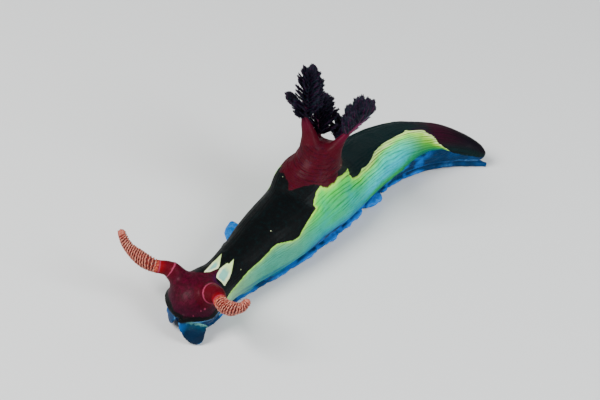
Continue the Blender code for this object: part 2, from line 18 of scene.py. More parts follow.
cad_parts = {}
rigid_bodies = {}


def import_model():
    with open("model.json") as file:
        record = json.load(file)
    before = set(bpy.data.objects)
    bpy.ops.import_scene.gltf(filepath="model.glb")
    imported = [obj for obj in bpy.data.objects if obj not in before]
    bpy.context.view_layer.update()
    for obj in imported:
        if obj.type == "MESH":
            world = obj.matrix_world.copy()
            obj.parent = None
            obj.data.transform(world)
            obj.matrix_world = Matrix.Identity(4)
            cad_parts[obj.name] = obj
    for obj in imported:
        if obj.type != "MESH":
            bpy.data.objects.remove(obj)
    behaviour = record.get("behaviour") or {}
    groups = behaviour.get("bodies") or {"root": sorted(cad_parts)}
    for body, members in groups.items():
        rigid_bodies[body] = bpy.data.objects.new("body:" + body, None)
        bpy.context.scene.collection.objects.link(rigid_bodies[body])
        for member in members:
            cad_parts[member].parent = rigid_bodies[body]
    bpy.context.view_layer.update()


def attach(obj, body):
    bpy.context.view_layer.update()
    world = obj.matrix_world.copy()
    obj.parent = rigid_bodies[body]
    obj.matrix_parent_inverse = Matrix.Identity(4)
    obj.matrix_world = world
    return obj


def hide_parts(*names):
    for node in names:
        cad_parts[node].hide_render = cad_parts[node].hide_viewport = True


bl_info = {
    "name": "Nembrotha Sea Slug",
    "version": (1, 0, 0),
    "blender": (4, 5, 0),
    "location": "3D View > Sidebar > Nembrotha",
    "description": "Builds a crawling nembrotha sea slug with its skin, rhinophores and gill",
    "category": "Object",
}

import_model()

MM = 0.001


def colour_run(*stops):
    """Stops of linear colour, from shares and everyday values between 0 and 255."""
    return tuple(
        (share, tuple((v / 255 / 12.92) if v < 10.5 else ((v / 255 + 0.055) / 1.055) ** 2.4 for v in colour))
        for share, *colour in stops
    )


# Midline of the body
BODY_LENGTH = 58.2
HEAD_BEND_END = 14.0
HEAD_TURN = math.radians(2.0)
TAIL_BEND_START = 33.0
TAIL_TURN = math.radians(64.7)
TAIL_TURN_POWER = 1.6
GILL_PLACE = 27.3
GILL_Y = -0.9
MIDLINE_STEP = 0.1

# Distance from the front, half width of the body, height of the back
STATIONS = (
    (0.0, 2.6, 5.4), (2.5, 2.9, 5.9), (5.0, 2.65, 5.85), (7.5, 2.35, 5.5), (10.0, 2.5, 5.65),
    (14.0, 3.1, 6.4), (18.0, 3.75, 7.2), (22.5, 4.15, 7.8), (27.3, 4.4, 8.3), (33.0, 4.2, 7.35),
    (39.0, 3.7, 6.95), (45.0, 3.1, 6.6), (50.5, 2.4, 5.6), (55.0, 1.6, 4.1), (58.2, 0.8, 2.6),
)
WAIST_SHARE = 0.42
LOWER_SQUARENESS = 3.6
LOWER_FLATNESS = 1.12
NOSE_HEIGHT = 2.9
NOSE_ROUND = 2.8
CHIN_SETBACK = 0.55
HEAD_END = 6.6
TAIL_ROUND = 1.2
TAIL_TIP_HEIGHT = 2.0
# The flank comes down to the foot, which it meets in a fine crease
FLANK_BASE = 0.95
SOLID_BASE = 1.2

# Foot
FOOT_HEIGHT = 0.9
FOOT_MARGIN = -0.3
FOOT_LEAST_HALF = 0.25
FOOT_EDGE_THICKNESS = 0.42
FOOT_FRONT = 1.6
FOOT_END = 58.7
FOOT_FRONT_ROUND = 3.0
FOOT_END_ROUND = 2.5
MARGIN_LIFT = 0.12
RUFFLE_RISE = 0.25
RUFFLE_SPREAD = 0.05
RUFFLE_LENGTH = 5.2
RUFFLE_PHASES = {1: 0.9, -1: 2.6}
FRILL_LENGTH = 1.5
FRILL_RISE = 0.09
FRILL_SPREAD = 0.12
# Flaps of the margin: side, place along the body, reach, half length and lift
MARGIN_FLAPS = (
    (-1, 18.5, 2.6, 2.1, 0.5),
    (1, 37.0, 0.55, 1.6, 0.25),
    (-1, 41.0, 0.5, 2.2, 0.2),
)

# Mouth: a slit with lips under the front of the head
MOUTH_PLACE = 1.04
MOUTH_HALF_ANGLE = 62.0
MOUTH_DEPTH = 0.34
LIP_RISE = 0.15

# Rhinophores: a route from inside the head to the tip, the shares of it where
# the sheath and the stalk end, and the radii of the sheath's rim and the club
RHINOPHORES = {
    "right": {
        "route": (
            (-1.5, -24.9, 4.0), (-3.5, -25.3, 5.35), (-5.0, -26.3, 5.65), (-6.7, -26.9, 6.15),
            (-8.3, -27.2, 7.1), (-9.5, -27.2, 8.7),
        ),
        "sheath": 0.2, "stalk": 0.38, "rim": 0.98, "club": 0.9,
    },
    "left": {
        "route": (
            (1.0, -24.5, 4.0), (2.0, -25.5, 5.5), (3.0, -26.0, 6.2), (3.9, -26.9, 6.5),
            (5.0, -27.6, 6.9), (6.0, -27.8, 7.3), (6.85, -27.35, 7.8), (7.1, -26.6, 8.6),
        ),
        "sheath": 0.16, "stalk": 0.465, "rim": 1.15, "club": 0.88,
    },
}
SHEATH_FLARE = 0.55
STALK_TOP_RADIUS = 0.7
STALK_INSET = 0.1
CLUB_TIP_SHARE = 0.45

# Oral flaps, and their half widths by share of the route
ORAL_ROUTES = {
    "left": ((1.2, -26.8, 2.4), (1.65, -27.45, 1.95), (2.35, -27.85, 1.25), (2.95, -27.6, 0.2)),
    "right": ((-1.0, -26.4, 2.9), (-1.5, -27.1, 2.1), (-1.7, -27.0, 1.3), (-1.9, -26.6, 0.5)),
}
ORAL_HALF_WIDTHS = ((0.0, 1.0), (0.2, 1.6), (0.38, 1.85), (0.6, 1.4), (0.8, 0.95), (0.93, 0.55), (1.0, 0.25))
ORAL_THICKNESS = 0.42
# How far forward the flat of a flap faces, against its route's way aside
ORAL_FACING = -1.6

# Gill: pedestal sections by rise over the back, half length, half width and shifts
GILL_BACK = 8.3
PEDESTAL_SECTIONS = (
    (-3.2, 6.8, 4.2, -0.2, -0.8),
    (-1.4, 6.4, 4.1, -0.35, -0.8),
    (-0.4, 5.3, 3.7, -0.5, -0.7),
    (0.4, 4.1, 3.1, -0.5, -0.5),
    (1.4, 3.1, 2.5, -0.45, -0.25),
    (2.5, 2.3, 2.0, -0.4, -0.1),
    (3.4, 1.2, 1.3, -0.3, 0.0),
)
GILL_CENTRE = (-0.4, GILL_Y)
# Plumes: a route from inside the pedestal, the stem's radii at its base and where
# it is evenly thin, the share without branchlets, how many pairs of them there
# are, the longest one, and the degrees that they lean inwards and their rows turn
PLUMES = {
    "gill_right": {
        "route": (
            (-1.2, -1.6, 9.6), (-1.35, -1.9, 11.1), (-2.2, -1.7, 12.6), (-3.15, -1.6, 14.1),
            (-3.6, -1.5, 15.7), (-4.0, -1.3, 17.4), (-4.3, -1.1, 19.0), (-4.5, -1.0, 20.3),
        ),
        "base": 2.0, "neck": 0.36, "bare": 0.46,
        "pairs": 19, "longest": 2.6, "inward": 18.0, "twist": -30.0,
    },
    "gill_fore": {
        "route": ((-3.2, -1.6, 14.2), (-3.9, -1.9, 14.9), (-4.9, -2.1, 15.7), (-5.7, -2.2, 16.5)),
        "base": 0.36, "neck": 0.28, "bare": 0.3,
        "pairs": 9, "longest": 1.3, "inward": 10.0, "twist": 0.0,
    },
    "gill_left": {
        "route": (
            (0.4, -0.9, 9.6), (0.9, -0.8, 11.3), (1.5, 0.2, 13.2), (2.5, 1.4, 15.3), (3.3, 2.4, 16.7),
        ),
        "base": 2.0, "neck": 0.34, "bare": 0.54,
        "pairs": 12, "longest": 3.1, "inward": 42.0, "twist": 0.0,
    },
    "gill_rear_right": {
        "route": (
            (-1.2, 0.3, 9.6), (-1.9, 0.5, 11.2), (-2.7, 1.0, 12.6), (-3.5, 1.8, 13.7), (-4.0, 2.4, 14.6),
        ),
        "base": 0.8, "neck": 0.4, "bare": 0.3,
        "pairs": 13, "longest": 2.9, "inward": 22.0, "twist": 0.0,
    },
    "gill_rear": {
        "route": (
            (0.1, 0.9, 9.6), (0.2, 1.3, 11.0), (0.3, 2.6, 12.0), (0.5, 4.2, 12.6), (0.7, 5.4, 13.4),
        ),
        "base": 0.8, "neck": 0.4, "bare": 0.3,
        "pairs": 12, "longest": 2.6, "inward": 28.0, "twist": 0.0,
    },
}
PLUME_GROUPS = {
    "gill_right": ("gill_right", "gill_fore"),
    "gill_left": ("gill_left",),
    "gill_rear_right": ("gill_rear_right",),
    "gill_rear": ("gill_rear",),
}
STEM_TIP_RADIUS = 0.16
BRANCHLET_LENGTHS = ((0.0, 0.8), (0.25, 1.0), (0.6, 0.85), (1.0, 0.45))
BRANCHLET_WIDTH = 1.0
BRANCHLET_FORWARD = 0.45
BRANCHLET_TWIST = math.radians(48.0)
LAST_BRANCHLETS = 0.96

# One degree round the body is about this far on the skin
DEGREE = 0.065
# Markings, as closed outlines of places along the body and degrees down from the
# top of the back
FRONT_DARK = (
    (3.0, -70), (3.0, 85), (5.6, 85), (6, 82), (6.8, 77), (7.5, 75), (8.3, 70), (9, 66), (10, 61),
    (11, 58), (12, 57.5), (13, 53.5), (14, 50.5), (15, 50.5), (16, 56), (17, 63), (18, 65),
    (18.6, 61), (19.3, 56), (20, 52), (21, 48), (22.2, 43), (22.1, 36), (22.5, 29), (23.2, 24),
    (24.5, 20), (25, -70),
)
REAR_DARK = (
    (26.6, -70), (26.6, 28), (28, 30), (29, 28.5), (30, 25), (29.6, 34), (30, 40), (31, 43),
    (31.7, 44.5), (32.5, 41), (33.2, 38), (34.2, 39), (35.5, 37), (36.5, 33), (37.5, 28),
    (38.7, 25), (40, 23.5), (41.5, 23), (43, 20.5), (44.3, 18), (45, 14.5), (46, 17),
    (47.5, 18.5), (48.1, 20), (48.3, 28), (49.2, 36), (49.7, 45), (50, 55), (50.6, 63),
    (51.5, 72), (52.2, 80), (53, 90), (55, 100), (61, 105), (61, -70),
)
LOWER_BLUE = (
    (-2, 152), (20, 152), (21.4, 126), (23.4, 114), (26, 118), (28.3, 128), (33, 126),
    (36, 122), (40, 126), (42, 122), (43.5, 114), (44.6, 104), (46, 91), (48.6, 79),
    (50.9, 76), (53, 86), (61, 100), (61, 260), (-2, 260),
)
# The same round the whole neck, from the animal's right at -200 to its left
HEAD_REAR = (
    (-4, -200), (5.0, -200), (5.2, -120), (5.4, -85), (5.0, -70), (4.5, -51), (4.2, -33.5),
    (4.2, -19), (4.5, -8.5), (4.8, 0), (5.4, 4.5), (6.5, 8.4), (5.9, 13.8), (5.2, 20), (4.8, 29),
    (5.0, 49), (5.3, 70), (5.6, 85), (5.3, 120), (5.0, 200), (-4, 200),
)
# Distance between the lengthwise wrinkles of the flank
WRINKLE_PITCH = 0.4
# The far flank mirrors the near one, but its dark comes this many degrees lower
FAR_SHIFT = 31.0
# Height of the upper edge of the black band round the front of the head
HEAD_MARGIN = 3.2
# Pale spots on the head, with their radii
HEAD_SPOTS = (((2.17, -26.59, 4.07), 0.16), ((1.95, -26.97, 3.89), 0.11), ((1.48, -27.6, 3.3), 0.08))
# Crimson saddle and pale patches, as outlines seen from above
SADDLE = (
    (-6.0, -1.9), (-4.3, -2.8), (-3.7, -3.8), (-3.2, -4.9), (-2.4, -5.2), (-1.9, -5.7),
    (-1.3, -6.0), (-0.9, -6.6), (-0.6, -6.9), (-0.2, -6.6), (0.2, -6.0), (0.6, -5.5),
    (1.2, -4.8), (1.7, -4.35), (2.1, -4.15), (2.4, -3.9), (2.6, -3.3), (2.75, -2.4), (2.6, -1.4),
    (1.9, -1.0), (1.5, -0.3), (1.1, 0.7), (-0.2, 1.5), (-1.6, 1.9), (-2.8, 1.6), (-3.9, 1.2),
    (-6.0, 0.8),
)
NECK_PATCHES = (
    (
        (0.44, -18.95), (0.86, -19.72), (1.29, -20.5), (1.6, -21.33), (1.92, -22.7),
        (1.37, -22.94), (0.9, -23.05), (0.62, -22.5), (0.3, -21.35), (0.26, -20.7),
        (0.3, -19.9), (0.52, -20.1),
    ),
    (
        (-1.2, -18.85), (-0.72, -19.83), (-0.1, -20.94), (0.16, -21.64), (0.1, -22.28),
        (0.02, -23.0), (-0.43, -23.58), (-0.66, -22.38), (-1.05, -20.89), (-1.1, -19.95),
    ),
)

# Colours down the flank, from its upper border at 0 to its lower one at 1
# The darker blue towards the lower border is painted shade. The palest stops at the top of the rear runs are
# partly painted highlight, and the turquoise of the middle and rear runs is partly painted sheen.
FLANK_FRONT = colour_run(
    (0.0, 132, 204, 84), (0.08, 104, 176, 110), (0.36, 66, 158, 130),
    (0.6, 60, 152, 128), (0.84, 46, 138, 126), (1.0, 10, 92, 128),
)
FLANK_MIDDLE = colour_run(
    (0.0, 184, 246, 70), (0.14, 70, 220, 60), (0.34, 0, 190, 96),
    (0.55, 0, 166, 146), (0.76, 0, 136, 152), (1.0, 0, 84, 150),
)
FLANK_REAR = colour_run(
    (0.0, 250, 254, 205), (0.13, 204, 252, 110), (0.28, 90, 246, 120),
    (0.46, 0, 226, 196), (0.64, 0, 180, 200), (0.8, 0, 160, 110),
    (0.92, 40, 150, 50), (1.0, 0, 92, 110),
)
FLANK_END = colour_run(
    (0.0, 246, 252, 190), (0.25, 170, 226, 70), (0.55, 70, 160, 50),
    (0.8, 30, 130, 80), (1.0, 0, 84, 100),
)
# Where along the body one of these runs of colours gives way to the next
FLANK_CHANGES = ((17.0, 23.5), (30.0, 36.0), (41.5, 48.0))


def smooth_curve(points, places, column):
    """Values at many places of a smooth curve through the given points."""
    table = np.array(points, float)
    knots, values = table[:, 0], table[:, column]
    places = np.clip(np.asarray(places, float), knots[0], knots[-1])
    i = np.clip(np.searchsorted(knots, places, side="right") - 1, 0, len(knots) - 2)
    number = np.arange(len(knots))
    low, high = np.maximum(number - 1, 0), np.minimum(number + 1, len(knots) - 1)
    slopes = (values[high] - values[low]) / (knots[high] - knots[low])
    run = knots[i + 1] - knots[i]
    t = (places - knots[i]) / run
    return (
        (1 + 2 * t) * (1 - t) ** 2 * values[i] + t * (1 - t) ** 2 * run * slopes[i]
        + t * t * (3 - 2 * t) * values[i + 1] - t * t * (1 - t) * run * slopes[i + 1]
    )


def smooth_step(low, high, value):
    """From 0 below low to 1 above high, eased at both ends."""
    t = np.clip((value - low) / (high - low), 0, 1)
    return t * t * (3 - 2 * t)


def heading(s):
    """How far the midline has turned from +Y towards +X."""
    s = np.asarray(s, float)
    bend = np.clip((s - TAIL_BEND_START) / (BODY_LENGTH - TAIL_BEND_START), 0, None)
    front = HEAD_TURN * (1 - s / HEAD_BEND_END)
    return np.where(s < HEAD_BEND_END, front, TAIL_TURN * bend ** TAIL_TURN_POWER)


def trace_midline():
    """Places along the midline, a step apart, with the gill's place at x = 0."""
    count = round((BODY_LENGTH + 1.0) / MIDLINE_STEP)
    turns = heading((np.arange(count) + 0.5) * MIDLINE_STEP)
    steps = np.stack([np.sin(turns), np.cos(turns)], 1) * MIDLINE_STEP
    trail = np.vstack([[[0.0, 0.0]], np.cumsum(steps, 0)])
    return trail + (0.0, GILL_Y) - trail[round(GILL_PLACE / MIDLINE_STEP)]


TRAIL = trace_midline()
TRAIL_PLACES = np.arange(len(TRAIL)) * MIDLINE_STEP


def midline(s):
    """Place on the floor under the midline, and the heading towards the tail."""
    return np.interp(s, TRAIL_PLACES, TRAIL[:, 0]), np.interp(s, TRAIL_PLACES, TRAIL[:, 1]), heading(s)


def end_rounding(s):
    """How full the section is, from 0 at either end to 1 along the body."""
    nose = np.sqrt(np.clip(1 - (1 - np.minimum(s / NOSE_ROUND, 1)) ** 2, 0, 1))
    tail = np.sqrt(np.clip(1 - np.clip((s - BODY_LENGTH + TAIL_ROUND) / TAIL_ROUND, 0, 1) ** 2, 0, 1))
    return nose * tail


def body_points(s, angle):
    """Points of the body's surface at places along it and angles from the top of
    the back towards the animal's left."""
    s, angle = np.broadcast_arrays(np.asarray(s, float), np.asarray(angle, float))
    full = end_rounding(s)
    level = np.where(s < BODY_LENGTH / 2, NOSE_HEIGHT, TAIL_TIP_HEIGHT)
    half = smooth_curve(STATIONS, s, 1) * full
    top = level + (smooth_curve(STATIONS, s, 2) - level) * full
    base = level + (FLANK_BASE - level) * full
    solid_base = level + (SOLID_BASE - level) * full
    waist = solid_base + (top - solid_base) * WAIST_SHARE
    side, rise = np.sin(angle), np.cos(angle)
    power = 2 / LOWER_SQUARENESS
    across = np.where(rise >= 0, half * side, half * np.sign(side) * np.abs(side) ** power)
    drop = np.minimum(1.0, LOWER_FLATNESS * np.abs(rise) ** power)
    height = np.where(rise >= 0, waist + (top - waist) * rise, waist - (waist - base) * drop)
    x, y, turn = midline(s)
    below = (height < NOSE_HEIGHT) & (s < HEAD_END)
    setback = np.where(below, CHIN_SETBACK * (NOSE_HEIGHT - height) * (1 - s / HEAD_END), 0.0)
    return np.stack([
        x + across * np.cos(turn) + setback * np.sin(turn),
        y - across * np.sin(turn) + setback * np.cos(turn),
        height,
    ], -1)


# Points taken at a time, to spare memory
CHUNK = 5000


def body_coordinates(points):
    """Place along the body, degrees from the top of the back towards the left,
    and distance to the left, of points in millimetres."""
    nearest = np.empty(len(points), int)
    for start in range(0, len(points), CHUNK):
        away = points[start:start + CHUNK, None, :2] - TRAIL[None]
        nearest[start:start + CHUNK] = (away ** 2).sum(-1).argmin(1)
    off = points[:, :2] - TRAIL[nearest]
    turn = heading(TRAIL_PLACES[nearest])
    s = TRAIL_PLACES[nearest] + off[:, 0] * np.sin(turn) + off[:, 1] * np.cos(turn)
    aside = off[:, 0] * np.cos(turn) - off[:, 1] * np.sin(turn)
    half, top = smooth_curve(STATIONS, s, 1), smooth_curve(STATIONS, s, 2)
    waist = SOLID_BASE + (top - SOLID_BASE) * WAIST_SHARE
    rise = points[:, 2] - waist
    depth = np.where(rise > 0, top - waist, waist - SOLID_BASE)
    return s, np.degrees(np.arctan2(aside / half, rise / depth)), aside


FAR = 1e9


def edge_distance(x, y, outline):
    """Signed distance of flat points from a closed outline, positive inside."""
    best, inside = np.full(len(x), FAR), np.zeros(len(x), bool)
    corners = list(outline)
    for (x0, y0), (x1, y1) in zip(corners, corners[1:] + corners[:1]):
        dx, dy = x1 - x0, y1 - y0
        t = np.clip(((x - x0) * dx + (y - y0) * dy) / (dx * dx + dy * dy), 0, 1)
        best = np.minimum(best, np.hypot(x - x0 - t * dx, y - y0 - t * dy))
        if dy:
            inside ^= ((y0 > y) != (y1 > y)) & (x < dx * (y - y0) / dy + x0)
    return np.where(inside, best, -best)


def flank_distance(s, angle, outline):
    """Signed distance from an outline of places along the body and degrees round it."""
    return edge_distance(s, angle * DEGREE, [(place, turn * DEGREE) for place, turn in outline])


# Large odd numbers that scatter the corners of the noise's lattice
SCATTER = (73856093, 19349663, 83492791)
SCATTER_SEED = 2654435761
SCATTER_MIX = 1274126177
HALF_RANGE = 32767.5


def lattice_noise(seed, *place):
    """Smooth noise between -1 and 1, one cell to a unit of each coordinate."""
    points = np.stack(np.broadcast_arrays(*place), 1)
    cell = np.floor(points).astype(np.int64)
    part = points - cell
    part = part * part * (3 - 2 * part)
    total = np.zeros(len(points))
    for corner in range(8):
        step = np.array([corner & 1, corner >> 1 & 1, corner >> 2 & 1])
        spot = cell + step
        mixed = (spot * SCATTER).sum(1) + seed * SCATTER_SEED
        mixed = (mixed ^ (mixed >> 13)) * SCATTER_MIX & 0x7FFFFFFF
        mixed = (mixed ^ (mixed >> 11)) & 0xFFFF
        weight = np.where(step, part, 1 - part).prod(1)
        total += weight * (mixed / HALF_RANGE - 1)
    return total


def unit(vectors):
    """Vectors brought to length 1."""
    return vectors / np.linalg.norm(vectors, axis=-1, keepdims=True)


ROUTE_STEP = 0.004
ROUTE_SAMPLES = 61


def route_points(route, shares):
    """Points of a smooth curve through the route's points, and its directions."""
    numbered = [(k, *point) for k, point in enumerate(route)]
    shares = np.asarray(shares, float)

    def at(t):
        places = np.clip(t, 0, 1) * (len(route) - 1)
        return np.stack([smooth_curve(numbered, places, column) for column in (1, 2, 3)], -1)

    return at(shares), unit(at(shares + ROUTE_STEP) - at(shares - ROUTE_STEP))


def route_length(route):
    """Length of the smooth curve through a route's points."""
    points, _ = route_points(route, np.linspace(0, 1, ROUTE_SAMPLES))
    return np.linalg.norm(np.diff(points, axis=0), axis=1).sum()


def nearest_on_route(points, route, count=80):
    """Share of the route nearest to each point, and how far away it is."""
    line, _ = route_points(route, np.linspace(0, 1, count))
    away = np.linalg.norm(points[:, None] - line[None], axis=-1)
    best = away.argmin(1)
    return best / (count - 1), away[np.arange(len(points)), best]


def level_across(ways):
    """The level direction across each of a route's ways."""
    return unit(np.cross(ways, (0.0, 0.0, 1.0)))


def even_angles(sides):
    """Angles once round a ring."""
    return np.arange(sides) * 2 * math.pi / sides


def tube(route, shares, radii, sides):
    """Rings round a route, as one array."""
    centres, ways = route_points(route, shares)
    sideways = level_across(ways)
    above = np.cross(sideways, ways)
    turn = even_angles(sides)[None, :, None]
    ring = sideways[:, None] * np.cos(turn) + above[:, None] * np.sin(turn)
    return centres[:, None] + ring * np.asarray(radii, float)[:, None, None]


def ring_faces(here, there, sides):
    """Faces between two rings, from the numbers of their first points."""
    pairs = ((j, (j + 1) % sides) for j in range(sides))
    return [(here + j, here + k, there + k, there + j) for j, k in pairs]


class Shells:
    """Gathers closed surfaces, in millimetres, into one mesh."""

    def __init__(self):
        self.points, self.faces, self.values = [], [], {}

    def loft(self, rings, start_pole=None, end_pole=None, **values):
        """Adds a closed surface through rings, each end drawn to a pole. Values
        are kept for its points, one number or one for each ring."""
        rings = np.asarray(rings, float)
        count, sides = rings.shape[:2]
        first = len(self.points)
        self.points += [tuple(p) for p in rings.reshape(-1, 3)]
        last = first + (count - 1) * sides
        for here in range(first, last, sides):
            self.faces += ring_faces(here, here + sides, sides)
        for ring, pole, at, turn in ((rings[0], start_pole, first, True), (rings[-1], end_pole, last, False)):
            hub = len(self.points)
            self.points.append(tuple(ring.mean(0) if pole is None else pole))
            for j in range(sides):
                a, b = at + j, at + (j + 1) % sides
                self.faces.append((b, a, hub) if turn else (a, b, hub))
        for name, value in values.items():
            value = np.broadcast_to(np.asarray(value, float), count)
            spread = np.concatenate([np.repeat(value, sides), [value[0], value[-1]]])
            self.values.setdefault(name, []).append((first, spread))

    def mesh(self, name, scale=MM):
        """One mesh of all the surfaces, faces turned out, with their values."""
        mesh = bpy.data.meshes.new(name)
        mesh.from_pydata([tuple(c * scale for c in p) for p in self.points], [], self.faces)
        turn_out(mesh)
        for key, runs in self.values.items():
            values = np.zeros(len(self.points))
            for first, spread in runs:
                values[first:first + len(spread)] = spread
            set_values(mesh, key, values)
        mesh.shade_smooth()
        return mesh


def turn_out(mesh):
    """Makes every face of a mesh point outwards."""
    build = bmesh.new()
    build.from_mesh(mesh)
    bmesh.ops.recalc_face_normals(build, faces=build.faces)
    build.to_mesh(mesh)
    build.free()


def set_values(mesh, name, values):
    """Stores one number, or one vector, for each point of a mesh."""
    values = np.asarray(values, np.float32)
    flat = values.ndim == 1
    kind = "FLOAT" if flat else "FLOAT_VECTOR"
    layer = mesh.attributes.get(name) or mesh.attributes.new(name, kind, "POINT")
    layer.data.foreach_set("value" if flat else "vector", values.ravel())


def read_vectors(source, name):
    """The named vector of every item in one of a mesh's lists, as an array."""
    values = np.empty(len(source) * 3, np.float32)
    source.foreach_get(name, values)
    return values.reshape(-1, 3).astype(float)


def set_points(mesh, points):
    """Moves every point of a mesh."""
    mesh.vertices.foreach_set("co", points.astype(np.float32).ravel())
    mesh.update()


def drop_values(mesh, *names):
    """Removes stored values that have done their work."""
    for name in names:
        if name in mesh.attributes:
            mesh.attributes.remove(mesh.attributes[name])


def add_object(name, mesh):
    """Links a mesh to the scene as an object."""
    mesh.name = name
    thing = bpy.data.objects.new(name, mesh)
    bpy.context.scene.collection.objects.link(thing)
    return thing


def apply_modifiers(thing):
    """Turns an object's modifiers into plain mesh."""
    graph = bpy.context.evaluated_depsgraph_get()
    graph.update()
    result = bpy.data.meshes.new_from_object(
        thing.evaluated_get(graph), preserve_all_data_layers=True, depsgraph=graph,
    )
    thing.modifiers.clear()
    old = thing.data
    thing.data = result
    bpy.data.meshes.remove(old)
    result.name = thing.name


# Rings of the foot: close together at its ends, evenly apart between them
FOOT_INSET = 0.02
FOOT_END_STEPS = np.array([0.0, 0.05, 0.15, 0.3, 0.5])
FOOT_STEP = 0.25


def foot_rings():
    """Closed outlines across the foot, thin and frilled at its margins."""
    places = np.concatenate([
        FOOT_FRONT + FOOT_INSET + FOOT_END_STEPS,
        np.arange(FOOT_FRONT + 0.75, FOOT_END - 0.6, FOOT_STEP),
        FOOT_END - FOOT_INSET - FOOT_END_STEPS[::-1],
    ])
    rings = []
    for s in places:
        front = 1 - min(1.0, (s - FOOT_FRONT) / FOOT_FRONT_ROUND)
        end = 1 - min(1.0, (FOOT_END - s) / FOOT_END_ROUND)
        rounding = math.sqrt(max(0.0, 1 - front ** 2)) * math.sqrt(max(0.0, 1 - end ** 2))
        half = max(FOOT_LEAST_HALF, (float(smooth_curve(STATIONS, s, 1)) + FOOT_MARGIN) * rounding)
        x0, y0, turn = (float(v) for v in midline(s))
        top = FOOT_HEIGHT
        if half < 1.0:
            top = FOOT_EDGE_THICKNESS + (FOOT_HEIGHT - FOOT_EDGE_THICKNESS) * half
        outline = []
        for side in (1, -1):
            wave = math.sin(2 * math.pi * s / RUFFLE_LENGTH + RUFFLE_PHASES[side])
            calm = min(1.0, half / 1.5)
            frill = noise.noise(Vector((s / FRILL_LENGTH * 2, side * 3.7, 1.3))) * calm
            lift = (MARGIN_LIFT + RUFFLE_RISE * (0.5 + 0.5 * wave)) * calm + FRILL_RISE * (frill + 0.4) * calm
            spread = half * (1 + RUFFLE_SPREAD * wave)
            spread += FRILL_SPREAD * noise.noise(Vector((s / FRILL_LENGTH * 1.7, side * 9.1, 4.2))) * calm
            edge_top = min(top, lift + FOOT_EDGE_THICKNESS)
            for flap_side, place, reach, half_length, rise in MARGIN_FLAPS:
                if flap_side == side:
                    bump = math.exp(-((s - place) / half_length) ** 4)
                    spread += reach * bump
                    lift += rise * bump
                    edge_top = max(edge_top, (lift + FOOT_EDGE_THICKNESS) * bump)
            flank = [
                (0.0, 0.0), (0.4 * half, 0.0), (0.72 * half, 0.0), (0.82 * spread, 0.2 * lift),
                (0.92 * spread, 0.55 * lift), (0.985 * spread, lift),
                (spread, lift * 0.7 + edge_top * 0.3), (spread, lift * 0.35 + edge_top * 0.65),
                (0.975 * spread, edge_top), (0.88 * spread, 0.25 * top + 0.75 * edge_top),
                (0.8 * half, min(top, 0.7 * top + 0.3 * edge_top)), (0.66 * half, top), (0.0, top),
            ]
            outline += flank[:-1] if side > 0 else [(-x, z) for x, z in reversed(flank[1:])]
        rings.append([(x0 + x * math.cos(turn), y0 - x * math.sin(turn), z) for x, z in outline])
    return np.array(rings)


PEDESTAL_RINGS = 26
PEDESTAL_SIDES = 56


def pedestal_rings():
    """Rings of the gill's pedestal, from inside the body to its top."""
    numbered = [(k, *row) for k, row in enumerate(PEDESTAL_SECTIONS)]
    steps = np.linspace(0, len(PEDESTAL_SECTIONS) - 1, PEDESTAL_RINGS)
    rise, along, across, aside, behind = (smooth_curve(numbered, steps, c)[:, None] for c in range(1, 6))
    angles = even_angles(PEDESTAL_SIDES)[None]
    return np.stack([
        aside + across * np.sin(angles),
        GILL_Y + behind + along * np.cos(angles),
        np.broadcast_to(GILL_BACK + rise, (PEDESTAL_RINGS, PEDESTAL_SIDES)),
    ], -1)


def stem_radius(plume, t):
    """Radius of a plume's stem: it tapers to a neck, then evenly to its tip."""
    t = np.asarray(t, float)
    bare = plume["bare"]
    flare = plume["neck"] + (plume["base"] - plume["neck"]) * np.clip(1 - t / bare, 0, 1) ** 1.1
    fine = plume["neck"] + (STEM_TIP_RADIUS - plume["neck"]) * np.clip((t - bare) / (1 - bare), 0, 1) ** 0.8
    return np.where(t < bare, flare, fine)


ORAL_RINGS = 24
ORAL_SIDES = 28


def oral_rings(route):
    """Rings of a flat oral flap."""
    outward = Vector((route[2][0], ORAL_FACING, 0.0)).normalized()
    shares = np.linspace(0, 1, ORAL_RINGS)
    centres, ways = route_points(route, shares)
    rings = []
    for t, centre, way in zip(shares, centres, ways):
        way = Vector(way)
        across = way.cross(outward).normalized()
        thick = across.cross(way).normalized()
        half = float(smooth_curve(ORAL_HALF_WIDTHS, t, 1)) * (1 + 0.04 * math.sin(9 * t))
        rings.append([
            Vector(centre) + across * half * math.cos(turn) + thick * ORAL_THICKNESS / 2 * math.sin(turn)
            for turn in even_angles(ORAL_SIDES)
        ])
    return np.array(rings)


BODY_SIDES = 112
BODY_STEP = 0.3
BARE_RINGS = 26
BARE_SIDES = 28
SHEATH_RINGS = 18
SHEATH_SIDES = 40
STALK_SIDES = 32
# The sheath's lip, rolled inwards: how far past its rim, and share of the rim
LIP_LENGTH = 0.12
LIP_ROLL = ((0.5, 1.02), (0.8, 0.98), (0.4, 0.93), (-0.3, 0.86))
# The papilla between the stems: its route, the shares of its rings and their radii
PAPILLA = ((-0.5, -0.7, 10.2), (-0.5, -0.6, 11.0), (-0.45, -0.5, 11.7))
PAPILLA_SHARES = (0, 0.4, 0.8, 1.0, 0.97, 0.8)
PAPILLA_RADII = (0.75, 0.55, 0.45, 0.36, 0.22, 0.12)
PAPILLA_SIDES = 20


def add_body(shells):
    """The body, from the front of the head to the tip of the tail."""
    nose = NOSE_ROUND * (1 - np.cos(np.radians(np.arange(3, 90, 5.0))))
    tail = BODY_LENGTH - TAIL_ROUND * (1 - np.sin(np.radians(np.arange(0, 88, 8.0))))
    middle = np.arange(NOSE_ROUND + 0.05, BODY_LENGTH - TAIL_ROUND - 0.1, BODY_STEP)
    places = np.concatenate([nose, middle, tail])
    shells.loft(
        body_points(places[:, None], even_angles(BODY_SIDES)[None]),
        body_points(0.0, 0.0), body_points(BODY_LENGTH, 0.0),
    )


